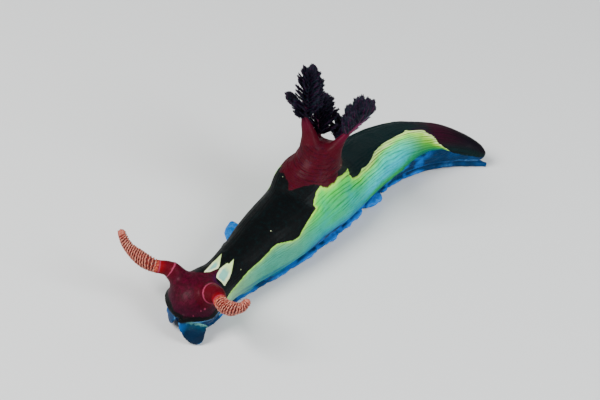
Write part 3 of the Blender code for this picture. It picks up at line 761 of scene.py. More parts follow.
def add_bare_stems(shells):
    """The lengths of the gill's stems that are bare."""
    for name, plume in PLUMES.items():
        end = plume["bare"] + (0.1 if name != "gill_fore" else 0.05)
        shares = np.linspace(0, end, BARE_RINGS)
        radii = stem_radius(plume, shares) * (1 - 0.35 * smooth_step(end - 0.12, end, shares))
        shells.loft(tube(plume["route"], shares, radii, BARE_SIDES))


def add_sheath(shells, form):
    """A rhinophore's sheath, which flares into the head, with a rolled lip."""
    shares, radii = [], []
    for k in range(SHEATH_RINGS):
        t = k / (SHEATH_RINGS - 1)
        shares.append(form["sheath"] * t)
        radii.append(form["rim"] + SHEATH_FLARE * (1 - t) ** 1.6)
    lip = LIP_LENGTH / route_length(form["route"])
    for inward, radius in LIP_ROLL:
        shares.append(form["sheath"] + lip * inward)
        radii.append(form["rim"] * radius)
    shells.loft(tube(form["route"], shares, radii, SHEATH_SIDES))


def add_stalk(shells, form):
    """A rhinophore's stalk, which tapers to its club and ends in a low ring."""
    shares = np.linspace(0.02, form["stalk"] + 0.02, BARE_RINGS)
    t = np.clip((shares - form["sheath"]) / (form["stalk"] - form["sheath"]), 0, 1)
    root = form["rim"] - STALK_INSET
    radii = STALK_TOP_RADIUS + (root - STALK_TOP_RADIUS) * (1 - t) ** 1.2
    radii = radii + 0.06 * np.exp(-((t - 0.93) / 0.05) ** 2)
    shells.loft(tube(form["route"], shares, radii, STALK_SIDES))


def skin_shells():
    """Body, foot, pedestal, stems, sheaths and oral flaps as overlapping forms."""
    shells = Shells()
    add_body(shells)
    shells.loft(foot_rings())
    shells.loft(pedestal_rings())
    add_bare_stems(shells)
    for form in RHINOPHORES.values():
        add_sheath(shells, form)
        add_stalk(shells, form)
    for route in ORAL_ROUTES.values():
        shells.loft(oral_rings(route))
    shells.loft(tube(PAPILLA, PAPILLA_SHARES, PAPILLA_RADII, PAPILLA_SIDES))
    return shells


def relax(points, edges, rounds, strength):
    """Moves each point towards the middle of its neighbours, by its own strength."""
    total = len(points)
    count = np.bincount(edges.ravel(), minlength=total)[:, None]
    strength = np.broadcast_to(strength, total)[:, None]
    for _ in range(rounds):
        middle = np.stack([
            np.bincount(edges[:, 0], points[edges[:, 1], c], total)
            + np.bincount(edges[:, 1], points[edges[:, 0], c], total)
            for c in range(3)
        ], 1) / count
        points = points + (middle - points) * strength
    return points


# Where the side plume leaves the right one
FORK = np.array((-3.2, -1.6, 14.2))
EVEN_ROUNDS = 3
JOIN_ROUNDS = 55


def join_strength(points):
    """How much each point of the skin is rounded, from 0 to 1, near the joins."""
    s, _, aside = body_coordinates(points)
    x, y, z = points.T
    centre_x, centre_y = GILL_CENTRE
    round_gill = np.hypot((x - centre_x) / 4.4, (y - centre_y + 0.5) / 6.6)
    near_back = np.abs(z - smooth_curve(STATIONS, s, 2)) < 3
    collar = np.exp(-((round_gill - 0.92) / 0.3) ** 2) * (z > 4.5) * near_back
    crown = smooth_step(4.2, 3.2, np.hypot(x - centre_x, y - centre_y))
    crown = crown * smooth_step(8.0, 9.4, z) * smooth_step(13.6, 12.4, z)
    join = np.maximum(collar, crown)
    for form in RHINOPHORES.values():
        share, away = nearest_on_route(points, form["route"])
        near_root = np.exp(-(share / (form["sheath"] * 0.62)) ** 2)
        near_root = near_root * (away < 2.6) * (s < HEAD_END + 1.5) * (z > 3.2)
        join = np.maximum(join, near_root * 0.9)
    for route in ORAL_ROUTES.values():
        share, away = nearest_on_route(points, route)
        join = np.maximum(join, (away < 1.5) * (1 - smooth_step(0.25, 0.5, share)) * 0.7 * (z < 4))
    fork = np.linalg.norm(points - FORK, axis=1)
    join = np.maximum(join, np.exp(-(fork / 0.8) ** 2) * 0.5)
    half = smooth_curve(STATIONS, s, 1)
    crease = (z > 0.75) & (z < 1.35) & (np.abs(aside) < half * 0.95) & (s > 2)
    return np.maximum(join, crease * 0.35)


def soften_joins(mesh):
    """Smooths the remeshed skin, and rounds the joins where parts grow from it."""
    points = read_vectors(mesh.vertices, "co")
    edges = np.empty(len(mesh.edges) * 2, np.int32)
    mesh.edges.foreach_get("vertices", edges)
    edges = edges.reshape(-1, 2)
    s, _, aside = body_coordinates(points)
    z = points[:, 2]
    on_foot = (z < 1.15) | (np.abs(aside) > smooth_curve(STATIONS, s, 1) + 0.15) & (z < 2.2)
    join = join_strength(points)
    for _ in range(EVEN_ROUNDS):
        points = relax(points, edges, 1, 0.5)
        points = relax(points, edges, 1, -0.52)
    points = relax(points, edges, 1, np.where(on_foot, 0.1, 0.35))
    points = relax(points, edges, JOIN_ROUNDS, join * 0.55)
    set_points(mesh, points)


MOUTH_SAMPLES = 60
MOUTH_REACH = 9.0


def mouth_distance(points):
    """Distance from the slit of the mouth."""
    turns = np.linspace(180 - MOUTH_HALF_ANGLE, 180 + MOUTH_HALF_ANGLE, MOUTH_SAMPLES)
    line = body_points(MOUTH_PLACE, np.radians(turns))
    distance = np.full(len(points), MOUTH_REACH)
    near = np.flatnonzero((points[:, 1] < line[:, 1].max() + 2.5) & (points[:, 2] < 3.2))
    away = np.linalg.norm(points[near, None] - line[None], axis=-1)
    distance[near] = away.min(1)
    return distance


# Opening on the side of the neck: place along the body and degrees round it
PORE = (12.2, -82)


def bump_at(distance, middle, width):
    """A rounded bump where a distance is near a middle value."""
    return np.exp(-((distance - middle) / width) ** 2)


def flank_relief(points, s, angle, wrinkle_depth):
    """Lengthwise wrinkles, stronger low down and towards the rear."""
    z = points[:, 2]
    arc = np.radians(angle) * 4.0
    long_wave = lattice_noise(3, s / 5.5, arc / 0.95, 0)
    fine_wave = lattice_noise(5, s / 3.2, arc / 0.46, 9)
    ridged = 0.4 * (1 - 2 * np.abs(long_wave)) + 0.3 * (1 - 2 * np.abs(fine_wave))
    phase = wrinkle_phase(s, angle)
    ridged -= 1.1 * smooth_step(0.3, 0.05, np.abs(phase - np.floor(phase) - 0.5))
    low = 0.35 + 0.65 * smooth_step(18, 46, np.abs(angle))
    rear = 0.35 + 0.65 * smooth_step(22, 38, s) - 0.5 * smooth_step(50, 56, s)
    return wrinkle_depth * ridged * low * rear * ((z > 1.3) & (z < 9.5) & (s > 5))


def body_unevenness(points, s):
    """Broad, soft unevenness of the back and flanks."""
    z = points[:, 2]
    broad = lattice_noise(11, *(points / 2.6).T) * 0.07 + lattice_noise(12, *(points / 1.1).T) * 0.025
    return broad * (smooth_step(1.4, 2.6, z) * (z < 12)) * smooth_step(2.0, 7.0, s)


def fold_place(points):
    """How far down the pedestal and the saddle each point lies, and which way
    from the gill."""
    x, y, z = points.T
    x, y = x - GILL_CENTRE[0], y - GILL_CENTRE[1]
    return np.hypot(x, (y + 0.3) / 1.25) - z * 0.9, np.arctan2(y, x)


def saddle_relief(points, fold_depth):
    """Folds that run round the gill, across the saddle and the pedestal."""
    x, y, z = points.T
    reach, way = fold_place(points)
    fold = lattice_noise(21, reach / 0.36, np.cos(way) * 1.6, np.sin(way) * 1.6)
    on_saddle = smooth_step(-0.3, 0.8, edge_distance(x, y, SADDLE)) * (z > 5.5) * (z < 11.5)
    return fold_depth * (1 - 2 * np.abs(fold)) * on_saddle


def foot_relief(points, s, aside):
    """Fine frills of the foot's margin, and the lobes of its rear part."""
    z = points[:, 2]
    side = np.sign(aside) * 5
    frill = lattice_noise(31, s / 0.42, side, z / 1.5)
    lobes = np.clip(3 * lattice_noise(32, s / 1.15, side, 0), -1, 1)
    outer = np.abs(aside) / smooth_curve(STATIONS, s, 1)
    margin = (z < 1.2) * (z > 0.08) * smooth_step(0.72, 0.95, outer)
    full = smooth_step(24, 29, s) * smooth_step(44, 40, s)
    return (0.045 * frill + 0.16 * lobes * full) * margin


def carve_skin(mesh, wrinkle_depth, fold_depth):
    """Adds the wrinkles of the flank, folds, frills, lips and the neck's opening."""
    points = read_vectors(mesh.vertices, "co")
    normals = read_vectors(mesh.vertex_normals, "vector")
    s, angle, aside = body_coordinates(points)
    y, z = points[:, 1], points[:, 2]
    move = flank_relief(points, s, angle, wrinkle_depth)
    move += body_unevenness(points, s)
    move += saddle_relief(points, fold_depth)
    move += foot_relief(points, s, aside)
    move += 0.26 * bump_at(z, 2.85, 0.36) * smooth_step(4.5, 2.5, s) * (y < -22)
    gap = mouth_distance(points)
    move += LIP_RISE * bump_at(gap, 0.42, 0.2) - MOUTH_DEPTH * bump_at(gap, 0.0, 0.15)
    pore = np.hypot(s - PORE[0], (angle - PORE[1]) * DEGREE)
    move += 0.12 * bump_at(pore, 0.42, 0.16) - 0.25 * bump_at(pore, 0.0, 0.22)
    floor = smooth_step(0.0, 0.12, z)
    points = points + normals * (move * floor)[:, None]
    points[:, 2] = np.maximum(points[:, 2], 0.0)
    set_points(mesh, points)


def wrinkle_phase(s, angle):
    """Counts the lengthwise wrinkles round the body; it sways along their way."""
    around = angle * DEGREE
    slow = lattice_noise(41, s / 6.5, around / 1.6, 3)
    quick = lattice_noise(42, s / 2.4, around / 0.7, 5)
    return around / WRINKLE_PITCH + 1.5 * slow + 0.4 * quick


def flap_place(points, route):
    """Each point's share of the way along an oral flap, and how far it lies off
    the flap's middle, as shares of its half width and of its thickness."""
    share, _ = nearest_on_route(points, route)
    centres, ways = route_points(route, share)
    across = unit(np.cross(ways, unit(np.array((route[2][0], ORAL_FACING, 0.0)))))
    offset = points - centres
    side = np.abs((offset * across).sum(1)) / smooth_curve(ORAL_HALF_WIDTHS, share, 1)
    deep = np.abs((offset * np.cross(across, ways)).sum(1)) / ORAL_THICKNESS
    return share, side, deep


# Distances given to points that a marking can't reach
OUTSIDE = -2.0
BELOW_ROUTE = -9.0
MARK_SAMPLES = 160
# The height above which everything is saddle or stem
STEM_BASE = 9.3


def back_distance(s, angle):
    """How far inside the black of the back each point is. The far side's border
    is waved and lies lower."""
    shift = np.where(angle < 0, 7 * np.sin(s * 0.55 + 1.0) + 3 * np.sin(s * 1.3) - FAR_SHIFT, 0.0)
    down = np.maximum(0, np.abs(angle) + shift * smooth_step(12, 30, np.abs(angle)))
    return np.maximum(flank_distance(s, down, FRONT_DARK), flank_distance(s, down, REAR_DARK))


def saddle_distance(points, s):
    """How far inside the crimson saddle each point is. It takes in the stems, and
    ends in a waved border on the far flank."""
    x, y, z = points.T
    saddle = edge_distance(x, y, SADDLE)
    saddle = np.where(z > STEM_BASE, np.maximum(saddle, (z - STEM_BASE) * 0.8), saddle)
    upright = z - smooth_curve(STATIONS, s, 2) + np.where(x < GILL_CENTRE[0], 4.3, 3.6)
    upright += 0.3 * np.sin(y * 2.1) + 0.15 * np.sin(y * 5.3)
    return np.minimum(saddle, upright)


def foot_marks(s, aside, z):
    """How far inside the foot each point is, and how near the foot's edge."""
    half = smooth_curve(STATIONS, s, 1)
    foot = np.maximum(0.86 - z, (np.abs(aside) - half - 0.1) * 2)
    foot = np.where((z < 2.4) & (s > 1.7), foot, OUTSIDE)
    rim = smooth_step(0.84, 1.04, np.abs(aside) / (half + FOOT_MARGIN + 0.12)) * (z < 1.5)
    return foot, np.maximum(rim, (np.abs(aside) > half + 0.5) * (z < 2.6) * 0.9)


def rhinophore_marks(points):
    """How far above its sheath's rim and its stalk's top each point is."""
    marks = np.full((2, len(points)), BELOW_ROUTE)
    for form in RHINOPHORES.values():
        share, distance = nearest_on_route(points, form["route"], MARK_SAMPLES)
        long = route_length(form["route"])
        on = (distance < 1.9) & (share > 0.04) & (points[:, 2] > 4.0)
        above = np.array([(share - form[part]) * long for part in ("sheath", "stalk")])
        marks = np.where(on, np.maximum(marks, above), marks)
    return marks


def stem_marks(points):
    """How far up the bare length of a stem each point is."""
    stem = np.zeros(len(points))
    for plume in PLUMES.values():
        share, distance = nearest_on_route(points, plume["route"])
        on = (distance < 1.2) & (points[:, 2] > 10.5)
        stem = np.where(on, np.maximum(stem, share / plume["bare"]), stem)
    return stem


def flap_marks(points):
    """How far down an oral flap each point is, and how near the flap's edge."""
    flap, flap_edge = np.zeros(len(points)), np.zeros(len(points))
    low = smooth_step(2.9, 2.6, points[:, 2])
    for route in ORAL_ROUTES.values():
        share, side, deep = flap_place(points, route)
        on = smooth_step(2.0, 1.3, deep) * smooth_step(1.3, 1.1, side) * low
        flap = np.maximum(flap, on * share)
        flap_edge = np.maximum(flap_edge, on * np.maximum(side, share))
    return flap, flap_edge


def mark_skin(mesh):
    """Stores how far each point is inside each marking, and where it lies."""
    points = read_vectors(mesh.vertices, "co")
    s, angle, aside = body_coordinates(points)
    x, y, z = points.T
    first, second = (edge_distance(x, y, patch) for patch in NECK_PATCHES)
    patches = np.where((z > 4.2) & (s > 3) & (s < 11), np.maximum(first, second), OUTSIDE)
    foot, rim = foot_marks(s, aside, z)
    blue = np.maximum(flank_distance(s, np.abs(angle), LOWER_BLUE), foot)
    margin = HEAD_MARGIN + 0.3 * smooth_step(-0.5, -1.5, x) + 0.35 * smooth_step(2.0, 3.5, s) * (x > 0)
    sheath, stalk = rhinophore_marks(points)
    flap, flap_edge = flap_marks(points)
    for name, values in (
        ("body_place", np.stack([s, angle * DEGREE, z], 1)),
        ("fold_place", np.stack([*fold_place(points), z], 1)),
        ("dark_edge", back_distance(s, angle)), ("blue_edge", blue),
        ("head_edge", flank_distance(s, angle, HEAD_REAR)),
        ("saddle_edge", saddle_distance(points, s)), ("patch_edge", patches),
        ("foot_rim", rim), ("margin", margin - z), ("sheath", sheath), ("stalk", stalk),
        ("stem", stem_marks(points)), ("flap", flap), ("flap_edge", flap_edge),
        ("mouth", mouth_distance(points)), ("phase", wrinkle_phase(s, angle)),
    ):
        set_values(mesh, name, values)


class Nodes:
    """Adds and links the nodes of one tree."""

    def __init__(self, tree):
        self.tree = tree

    def add(self, kind, inputs=None, **settings):
        """Adds a node. Inputs are values or the sockets they come from."""
        node = self.tree.nodes.new(kind)
        for name, value in settings.items():
            setattr(node, name, value)
        self.feed(node, inputs or {})
        return node

    def feed(self, node, inputs):
        """Sets a node's inputs, or links them to the sockets they come from."""
        for key, value in inputs.items():
            socket = node.inputs[key]
            if isinstance(value, bpy.types.NodeSocket):
                self.tree.links.new(value, socket)
            elif socket.type == "RGBA":
                socket.default_value = (*tuple(value)[:3], 1.0)
            else:
                socket.default_value = value

    def attribute(self, name, output="Fac"):
        return self.add("ShaderNodeAttribute", attribute_name=name).outputs[output]

    def math(self, operation, *values):
        return self.add("ShaderNodeMath", dict(enumerate(values)), operation=operation).outputs[0]

    def times(self, *values):
        result = values[0]
        for value in values[1:]:
            result = self.math("MULTIPLY", result, value)
        return result

    def plus(self, first, second):
        return self.math("ADD", first, second)

    def minus(self, first, second):
        return self.math("SUBTRACT", first, second)

    def larger(self, first, second):
        return self.math("MAXIMUM", first, second)

    def sway(self, pattern, amount):
        """A pattern between 0 and 1 as a swing to both sides of nothing."""
        return self.times(self.minus(pattern, 0.5), amount)

    def group(self, tree, **inputs):
        return self.add("ShaderNodeGroup", inputs, node_tree=tree).outputs

    def mix(self, factor, first, second, blend="MIX"):
        return self.add(
            "ShaderNodeMix", {0: factor, 6: first, 7: second}, data_type="RGBA", blend_type=blend,
        ).outputs[2]

    def noise(self, vector, scale, detail=2.0, roughness=0.5):
        return self.add(
            "ShaderNodeTexNoise",
            {"Vector": vector, "Scale": scale, "Detail": detail, "Roughness": roughness},
        ).outputs[0]

    def range(self, value, low, high, start=0.0, end=1.0, kind="SMOOTHSTEP"):
        return self.add(
            "ShaderNodeMapRange", {0: value, 1: low, 2: high, 3: start, 4: end}, interpolation_type=kind,
        ).outputs[0]

    def ramp(self, factor, stops):
        node = self.add("ShaderNodeValToRGB", {0: factor})
        band = node.color_ramp
        for k, (place, colour) in enumerate(stops):
            stop = band.elements[k] if k < 2 else band.elements.new(place)
            stop.position = place
            stop.color = (*tuple(colour)[:3], 1.0)
        return node.outputs[0]

    def stretch(self, vector, size):
        return self.add("ShaderNodeVectorMath", {0: vector, 1: size}, operation="MULTIPLY").outputs[0]


def new_tree(kind, name, inputs, outputs):
    """A node tree with named inputs and outputs, a helper to add nodes to it, the
    sockets that give its inputs and those that take its outputs."""
    tree = bpy.data.node_groups.new(name, kind)
    for label, value, *default in inputs:
        socket = tree.interface.new_socket(label, in_out="INPUT", socket_type="NodeSocket" + value)
        if default:
            socket.default_value = default[0]
    for label, value in outputs:
        tree.interface.new_socket(label, in_out="OUTPUT", socket_type="NodeSocket" + value)
    nodes = Nodes(tree)
    return tree, nodes, nodes.add("NodeGroupInput").outputs, nodes.add("NodeGroupOutput").inputs


def ragged_edge_group():
    """A marking's mask from its signed distance, with a torn, streaky border."""
    group, nodes, given, made = new_tree("ShaderNodeTree", "ragged_edge", (
        ("Distance", "Float"), ("Streaks", "Float", 0.5), ("Tear", "Float", 0.5), ("Softness", "Float", 0.06),
    ), (("Mask", "Float"),))
    edge = nodes.plus(given["Distance"], nodes.sway(given["Streaks"], given["Tear"]))
    low = nodes.times(given["Softness"], -1.0)
    group.links.new(nodes.range(edge, low, given["Softness"]), made["Mask"])
    return group


def wet_skin_group():
    """Fine pebbled relief and uneven gloss of wet skin, in millimetres."""
    group, nodes, given, made = new_tree("ShaderNodeTree", "wet_skin", (
        ("Place", "Vector"), ("Grain", "Float", 5.0), ("Gloss", "Float", 0.55), ("Unevenness", "Float", 0.16),
    ), (("Height", "Float"), ("Roughness", "Float"), ("Mottle", "Float")))
    place = given["Place"]
    pebbles = nodes.add("ShaderNodeTexVoronoi", {"Vector": place, "Scale": given["Grain"]}).outputs[0]
    cloud = nodes.noise(place, 0.9, 3.0, 0.6)
    height = nodes.plus(nodes.times(pebbles, -0.6), nodes.noise(place, 7.0, 2.0, 0.6))
    gloss = nodes.plus(given["Gloss"], nodes.sway(cloud, given["Unevenness"]))
    for value, name in ((height, "Height"), (gloss, "Roughness"), (cloud, "Mottle")):
        group.links.new(value, made[name])
    return group


def shared_group(name, make):
    """The node group of that name, made the first time that it is asked for."""
    return bpy.data.node_groups.get(name) or make()


def new_material(name):
    """A material with its Principled shader and a helper to add nodes."""
    material = bpy.data.materials.new(name)
    material.use_nodes = True
    nodes = Nodes(material.node_tree)
    return material, nodes, material.node_tree.nodes["Principled BSDF"]


def millimetres(nodes):
    """Object coordinates in millimetres."""
    place = nodes.add("ShaderNodeTexCoord").outputs["Object"]
    return nodes.stretch(place, (1000.0, 1000.0, 1000.0))


def wet_finish(material, nodes, shader, mm, colour, grain, gloss, relief, depth, specular):
    """Gives a material its colour with the uneven gloss and fine relief of wet skin."""
    wet = nodes.group(shared_group("wet_skin", wet_skin_group), Place=mm, Grain=grain, Gloss=gloss)
    bump = nodes.add("ShaderNodeBump", {"Strength": relief, "Distance": depth, "Height": wet["Height"]})
    nodes.feed(shader, {
        "Base Color": colour, "Roughness": wet["Roughness"], "Normal": bump.outputs[0],
        "Specular IOR Level": specular,
    })
    return material


# Grain of the skin's patterns: cells to a millimetre along, round and up the body
STREAKS = (0.22, 3.0, 0.0)
FINE_STREAKS = (0.14, 3.4, 0.0)
# For the folds, to a millimetre down the saddle and to a radian round the gill
FOLDS = (6.5, 1.1, 0.0)
# For the fray, to a millimetre in every direction
FRAY = 2.4
# Where along the body one look gives way to another, in millimetres
FRONT_PALENESS = (13.0, 5.0)
LIME_START = (3.0, 8.0)
RIDGES_START = (19.0, 30.0)
CREAM_RIDGES = (33.0, 40.0)
# The foot's painted light: where it grows, and where it fades.
FOOT_LIT = (12.0, 24.0)
FOOT_LIGHT_FADES = (47.0, 50.0)
BACK_SHEEN = (27.0, 34.0)
PATCH_POINTS = (6.9, 8.0)
TAIL_EDGE = (45.0, 48.0)
TAIL_TORN = (45.8, 50.5)
TAIL_START = (48.2, 50.0)
TAIL_DARKENS = (50.0, 56.0)
# Heights of the line under the head's black band and of the underside
UNDER_LINE = (2.5, 2.42)
UNDERSIDE = (2.4, 2.3)


class SkinNodes(Nodes):
    """Nodes of the skin's material, with the places and patterns that its markings
    share. Each marking's function takes the colour so far and adds to it."""

    def __init__(self, tree, colours):
        super().__init__(tree)
        self.colours = colours
        self.ragged = shared_group("ragged_edge", ragged_edge_group)
        self.mm = millimetres(self)
        place = self.attribute("body_place", "Vector")
        self.along, self.around, self.height = self.add("ShaderNodeSeparateXYZ", {0: place}).outputs
        self.streaks = self.noise(self.stretch(place, STREAKS), 1.0, 3.0, 0.62)
        self.fine_streaks = self.noise(self.stretch(place, FINE_STREAKS), 1.0, 2.0, 0.55)
        self.fray = self.noise(self.mm, FRAY, 3.0, 0.65)
        folds = self.stretch(self.attribute("fold_place", "Vector"), FOLDS)
        self.folds = self.noise(folds, 1.0, 2.0, 0.55)
        self.dark, self.saddle = self.attribute("dark_edge"), self.attribute("saddle_edge")
        self.blue = self.attribute("blue_edge")
        turns = self.minus(self.math("FRACT", self.attribute("phase")), 0.5)
        creases = self.range(self.math("ABSOLUTE", turns), 0.22, 0.04)
        self.creases = self.times(creases, self.range(self.streaks, 0.62, 0.42, 0.15, 1.0))

    def marking(self, distance, tear, softness, torn_by):
        """Mask of a marking, its border torn by a pattern."""
        return self.group(
            self.ragged, Distance=distance, Streaks=torn_by, Tear=tear, Softness=softness,
        )["Mask"]


def flank_colour(n):
    """Pale green, by share of the way from the black down to the blue, darker low down as painted shade, with
    cream ridges that are partly a painted highlight, dark lines painted as shade in the grooves between
    wrinkles, and a lime border."""
    colours, along = n.colours, n.along
    upper = n.larger(n.times(n.larger(n.dark, n.saddle), -1.0), 0.0)
    lower = n.larger(n.times(n.blue, -1.0), 0.02)
    share = n.math("DIVIDE", upper, n.plus(upper, lower))
    streaked = n.plus(share, n.sway(n.streaks, 0.22))
    colour = n.ramp(streaked, FLANK_FRONT)
    for change, stops in zip(FLANK_CHANGES, (FLANK_MIDDLE, FLANK_REAR, FLANK_END)):
        colour = n.mix(n.range(along, *change), colour, n.ramp(streaked, stops))
    rear = n.range(along, *RIDGES_START, 0.25, 1.0)
    # Cream streaks high on the rear flank: the flank's own pale colour, partly a painted highlight.
    ridges = n.times(n.range(n.fine_streaks, 0.5, 0.68), n.range(share, 0.45, 0.05), rear)
    ridges = n.times(ridges, n.range(along, *CREAM_RIDGES, 0.25, 0.75))
    colour = n.mix(ridges, colour, colours.cream)
    colour = n.mix(n.range(along, *FRONT_PALENESS, 0.0, 0.35), colour, colours.pale_lime)
    # Painted shade: dark lines in the grooves between the flank's wrinkles.
    groove_shade_mask = n.times(n.creases, n.range(share, 0.8, 0.12, 0.12, 1.0), rear)
    colour = n.mix(n.times(groove_shade_mask, 0.92), colour, colours.groove_shade)
    lime = n.times(n.range(upper, 0.4, 0.05), n.range(along, *LIME_START))
    return n.mix(n.times(lime, 0.55), colour, colours.lime)


def foot_colour(n):
    """Deep blue, with painted light of a brighter blue in clouds and towards its margin, and a painted
    highlight on its pale rim.
    """
    colours, along, rim = n.colours, n.along, n.attribute("foot_rim")
    cloud = n.noise(n.mm, 0.55, 1.0)
    # Painted light: a brighter blue where the foot is lit, in clouds and towards the margin, weaker at the
    # front and fading at the rear.
    lit = n.larger(n.range(rim, 0.1, 0.8), n.range(cloud, 0.45, 0.62, 0.0, 0.7))
    lit = n.times(lit, n.range(along, *FOOT_LIT, 0.45, 1.0), n.range(along, *FOOT_LIGHT_FADES, 1.0, 0.15))
    colour = n.mix(lit, colours.deep_blue, colours.lit_azure)
    # Painted highlight on the pale rim.
    pale = n.times(n.range(rim, 0.5, 1.0), n.range(n.fray, 0.4, 0.7, 0.0, 0.4))
    return n.mix(pale, colour, colours.pale_blue)


def add_back_and_tail(n, colour):
    """Black back with a cold sheen, and the maroon tail with a violet edge."""
    colours, along = n.colours, n.along
    down = n.math("ABSOLUTE", n.around)
    # Painted sheen: a teal cast on the black, in random patches and growing towards the rear.
    sheen = n.larger(n.range(n.fray, 0.45, 0.8, 0.0, 0.6), n.range(along, *BACK_SHEEN, 0.0, 0.85))
    black = n.mix(sheen, colours.black, colours.blue_black_and_sheen)
    tail = n.mix(n.range(along, *TAIL_DARKENS), colours.tail_maroon, colours.tail_violet)
    tail = n.mix(n.range(down, 44 * DEGREE, 78 * DEGREE), tail, colours.blue_black_and_sheen)
    tail = n.mix(n.range(n.fine_streaks, 0.55, 0.35, 0.0, 0.6), tail, colours.black)
    torn = n.times(n.range(n.streaks, 0.35, 0.6), n.range(along, *TAIL_TORN))
    dark = n.mix(n.larger(torn, n.range(along, *TAIL_START)), black, tail)
    edge = n.times(n.range(n.dark, 0.6, 0.05), n.range(along, *TAIL_EDGE), n.range(down, 3.6, 2.0))
    dark = n.mix(n.times(edge, 0.7), dark, colours.violet)
    return n.mix(n.marking(n.dark, 0.42, 0.04, n.streaks), colour, dark)


def add_saddle_and_patches(n, colour):
    """Crimson with painted shade in the grooves of its folds round the gill, and pale patches on the neck."""
    colours = n.colours
    # Painted shade: the crimson darkens where the folds' relief is low.
    crimson = n.range(n.folds, 0.3, 0.56, 0.25, 1.0)
    saddle = n.mix(crimson, colours.saddle_fold_shade, colours.crimson)
    saddle = n.mix(n.range(n.fray, 0.5, 0.75, 0.0, 0.3), saddle, colours.violet)
    colour = n.mix(n.marking(n.saddle, 0.4, 0.07, n.fray), colour, saddle)
    distance = n.attribute("patch_edge")
    patch = n.mix(n.range(distance, 0.14, 0.34), colours.cream, colours.aqua)
    patch = n.mix(n.range(n.along, *PATCH_POINTS), patch, colours.pale_lime)
    return n.mix(n.marking(distance, 0.08, 0.04, n.fray), colour, patch)


def add_head(n, colour):
    """Maroon dome, the black band round its front, and the blue underside."""
    colours, distance, margin = n.colours, n.attribute("head_edge"), n.attribute("margin")
    # Painted light: random lit patches of maroon on the dome.
    dome = n.mix(n.range(n.fray, 0.35, 0.7), colours.maroon, colours.lit_maroon)
    rear_edge = n.times(n.range(distance, 0.8, 0.1), n.range(n.around, 0.6, 1.3))
    dome = n.mix(n.times(rear_edge, 0.8), dome, colours.violet)
    dome = n.mix(n.range(margin, -1.5, -0.1, 0.0, 0.55), dome, colours.dusk)
    torn = n.plus(margin, n.sway(n.fray, 0.5))
    dome = n.mix(n.range(torn, -0.06, 0.05), dome, colours.black)
    lips = n.range(n.attribute("mouth"), 0.1, 0.45)
    dome = n.mix(n.range(n.height, *UNDER_LINE), dome, colours.pale_blue)
    under = n.mix(lips, colours.dusk, colours.deep_blue)
    dome = n.mix(n.range(n.height, *UNDERSIDE), dome, under)
    return n.mix(n.marking(distance, 0.22, 0.05, n.fray), colour, dome)


def add_stalks(n, colour):
    """Red stalks with salmon grains at the top, and pink rings."""
    colours, sheath, stalk = n.colours, n.attribute("sheath"), n.attribute("stalk")
    red = n.mix(n.range(stalk, -1.2, -0.3), colours.stalk, colours.scarlet)
    grains = n.range(n.noise(n.mm, 6.0, 2.0), 0.4, 0.6)
    red = n.mix(n.times(n.range(stalk, -0.3, -0.05), grains), red, colours.salmon)
    colour = n.mix(n.range(sheath, 0.0, 0.1), colour, red)
    skirt = n.times(n.range(sheath, -1.0, -0.1), n.range(sheath, 0.1, 0.0))
    colour = n.mix(n.times(skirt, 0.5), colour, colours.stalk)
    rings = n.larger(*(
        n.range(n.math("ABSOLUTE", n.minus(rise, middle)), 0.1, 0.04)
        for rise, middle in ((sheath, 0.05), (stalk, -0.3))
    ))
    return n.mix(n.times(rings, 0.8), colour, colours.pink)


def add_stems(n, colour):
    """Bare stems of the gill, crimson to magenta."""
    colours, stem = n.colours, n.attribute("stem")
    red = n.mix(n.range(stem, 0.6, 1.0), colours.crimson, colours.magenta)
    return n.mix(n.range(stem, 0.2, 0.4), colour, red)


def add_flaps(n, colour, foot):
    """Oral flaps: the left one pale at its root and navy below, the right one
    as the foot."""
    colours, flap = n.colours, n.attribute("flap")
    aside = n.add("ShaderNodeSeparateXYZ", {0: n.mm}).outputs[0]
    down = n.minus(flap, n.times(n.range(aside, 1.6, 3.4), 0.22))
    navy = n.ramp(n.plus(down, n.sway(n.fray, 0.2)), (
        (0.0, colours.pale_lime), (1.0, colours.navy), (0.16, colours.aqua), (0.34, colours.sea),
        (0.5, colours.navy),
    ))
    navy = n.mix(n.range(aside, 1.6, 0.8), navy, foot)
    edge = n.times(n.range(n.attribute("flap_edge"), 0.92, 0.98), n.range(aside, 3.6, 2.9))
    navy = n.mix(n.times(edge, 0.35), navy, colours.pale_blue)
    return n.mix(n.range(flap, 0.24, 0.3), colour, navy)


def add_specks(n, colour):
    """A few cream specks on the back, and pink spots on the head."""
    speck = n.add("ShaderNodeTexVoronoi", {"Vector": n.mm, "Scale": 0.62}).outputs[0]
    chosen = n.range(n.noise(n.mm, 0.5, 0.0), 0.5, 0.54)
    speck = n.times(n.range(speck, 0.05, 0.03), chosen, n.range(n.dark, 0.2, 0.6))
    colour = n.mix(n.times(speck, 0.6), colour, n.colours.cream)
    for centre, radius in HEAD_SPOTS:
        away = n.add("ShaderNodeVectorMath", {0: n.mm, 1: centre}, operation="DISTANCE")
        spot = n.range(away.outputs["Value"], radius, radius * 0.4, 0.0, 0.7)
        colour = n.mix(spot, colour, n.colours.pink)
    return colour


def skin_relief(n, pebbles):
    """Height of the wrinkles, of the saddle's folds and of the skin's pebbles."""
    on_flank = n.times(
        n.range(n.dark, 0.2, -0.2), n.range(n.height, 0.9, 1.4),
        n.range(n.along, 3.0, 7.0, 0.25, 1.0),
    )
    wrinkle = n.times(n.minus(n.streaks, n.times(n.creases, 0.6)), on_flank)
    on_saddle = n.times(n.range(n.saddle, -0.1, 0.4), 1.4)
    height = n.plus(wrinkle, n.times(n.folds, on_saddle))
    return n.plus(height, n.times(pebbles, 0.35))


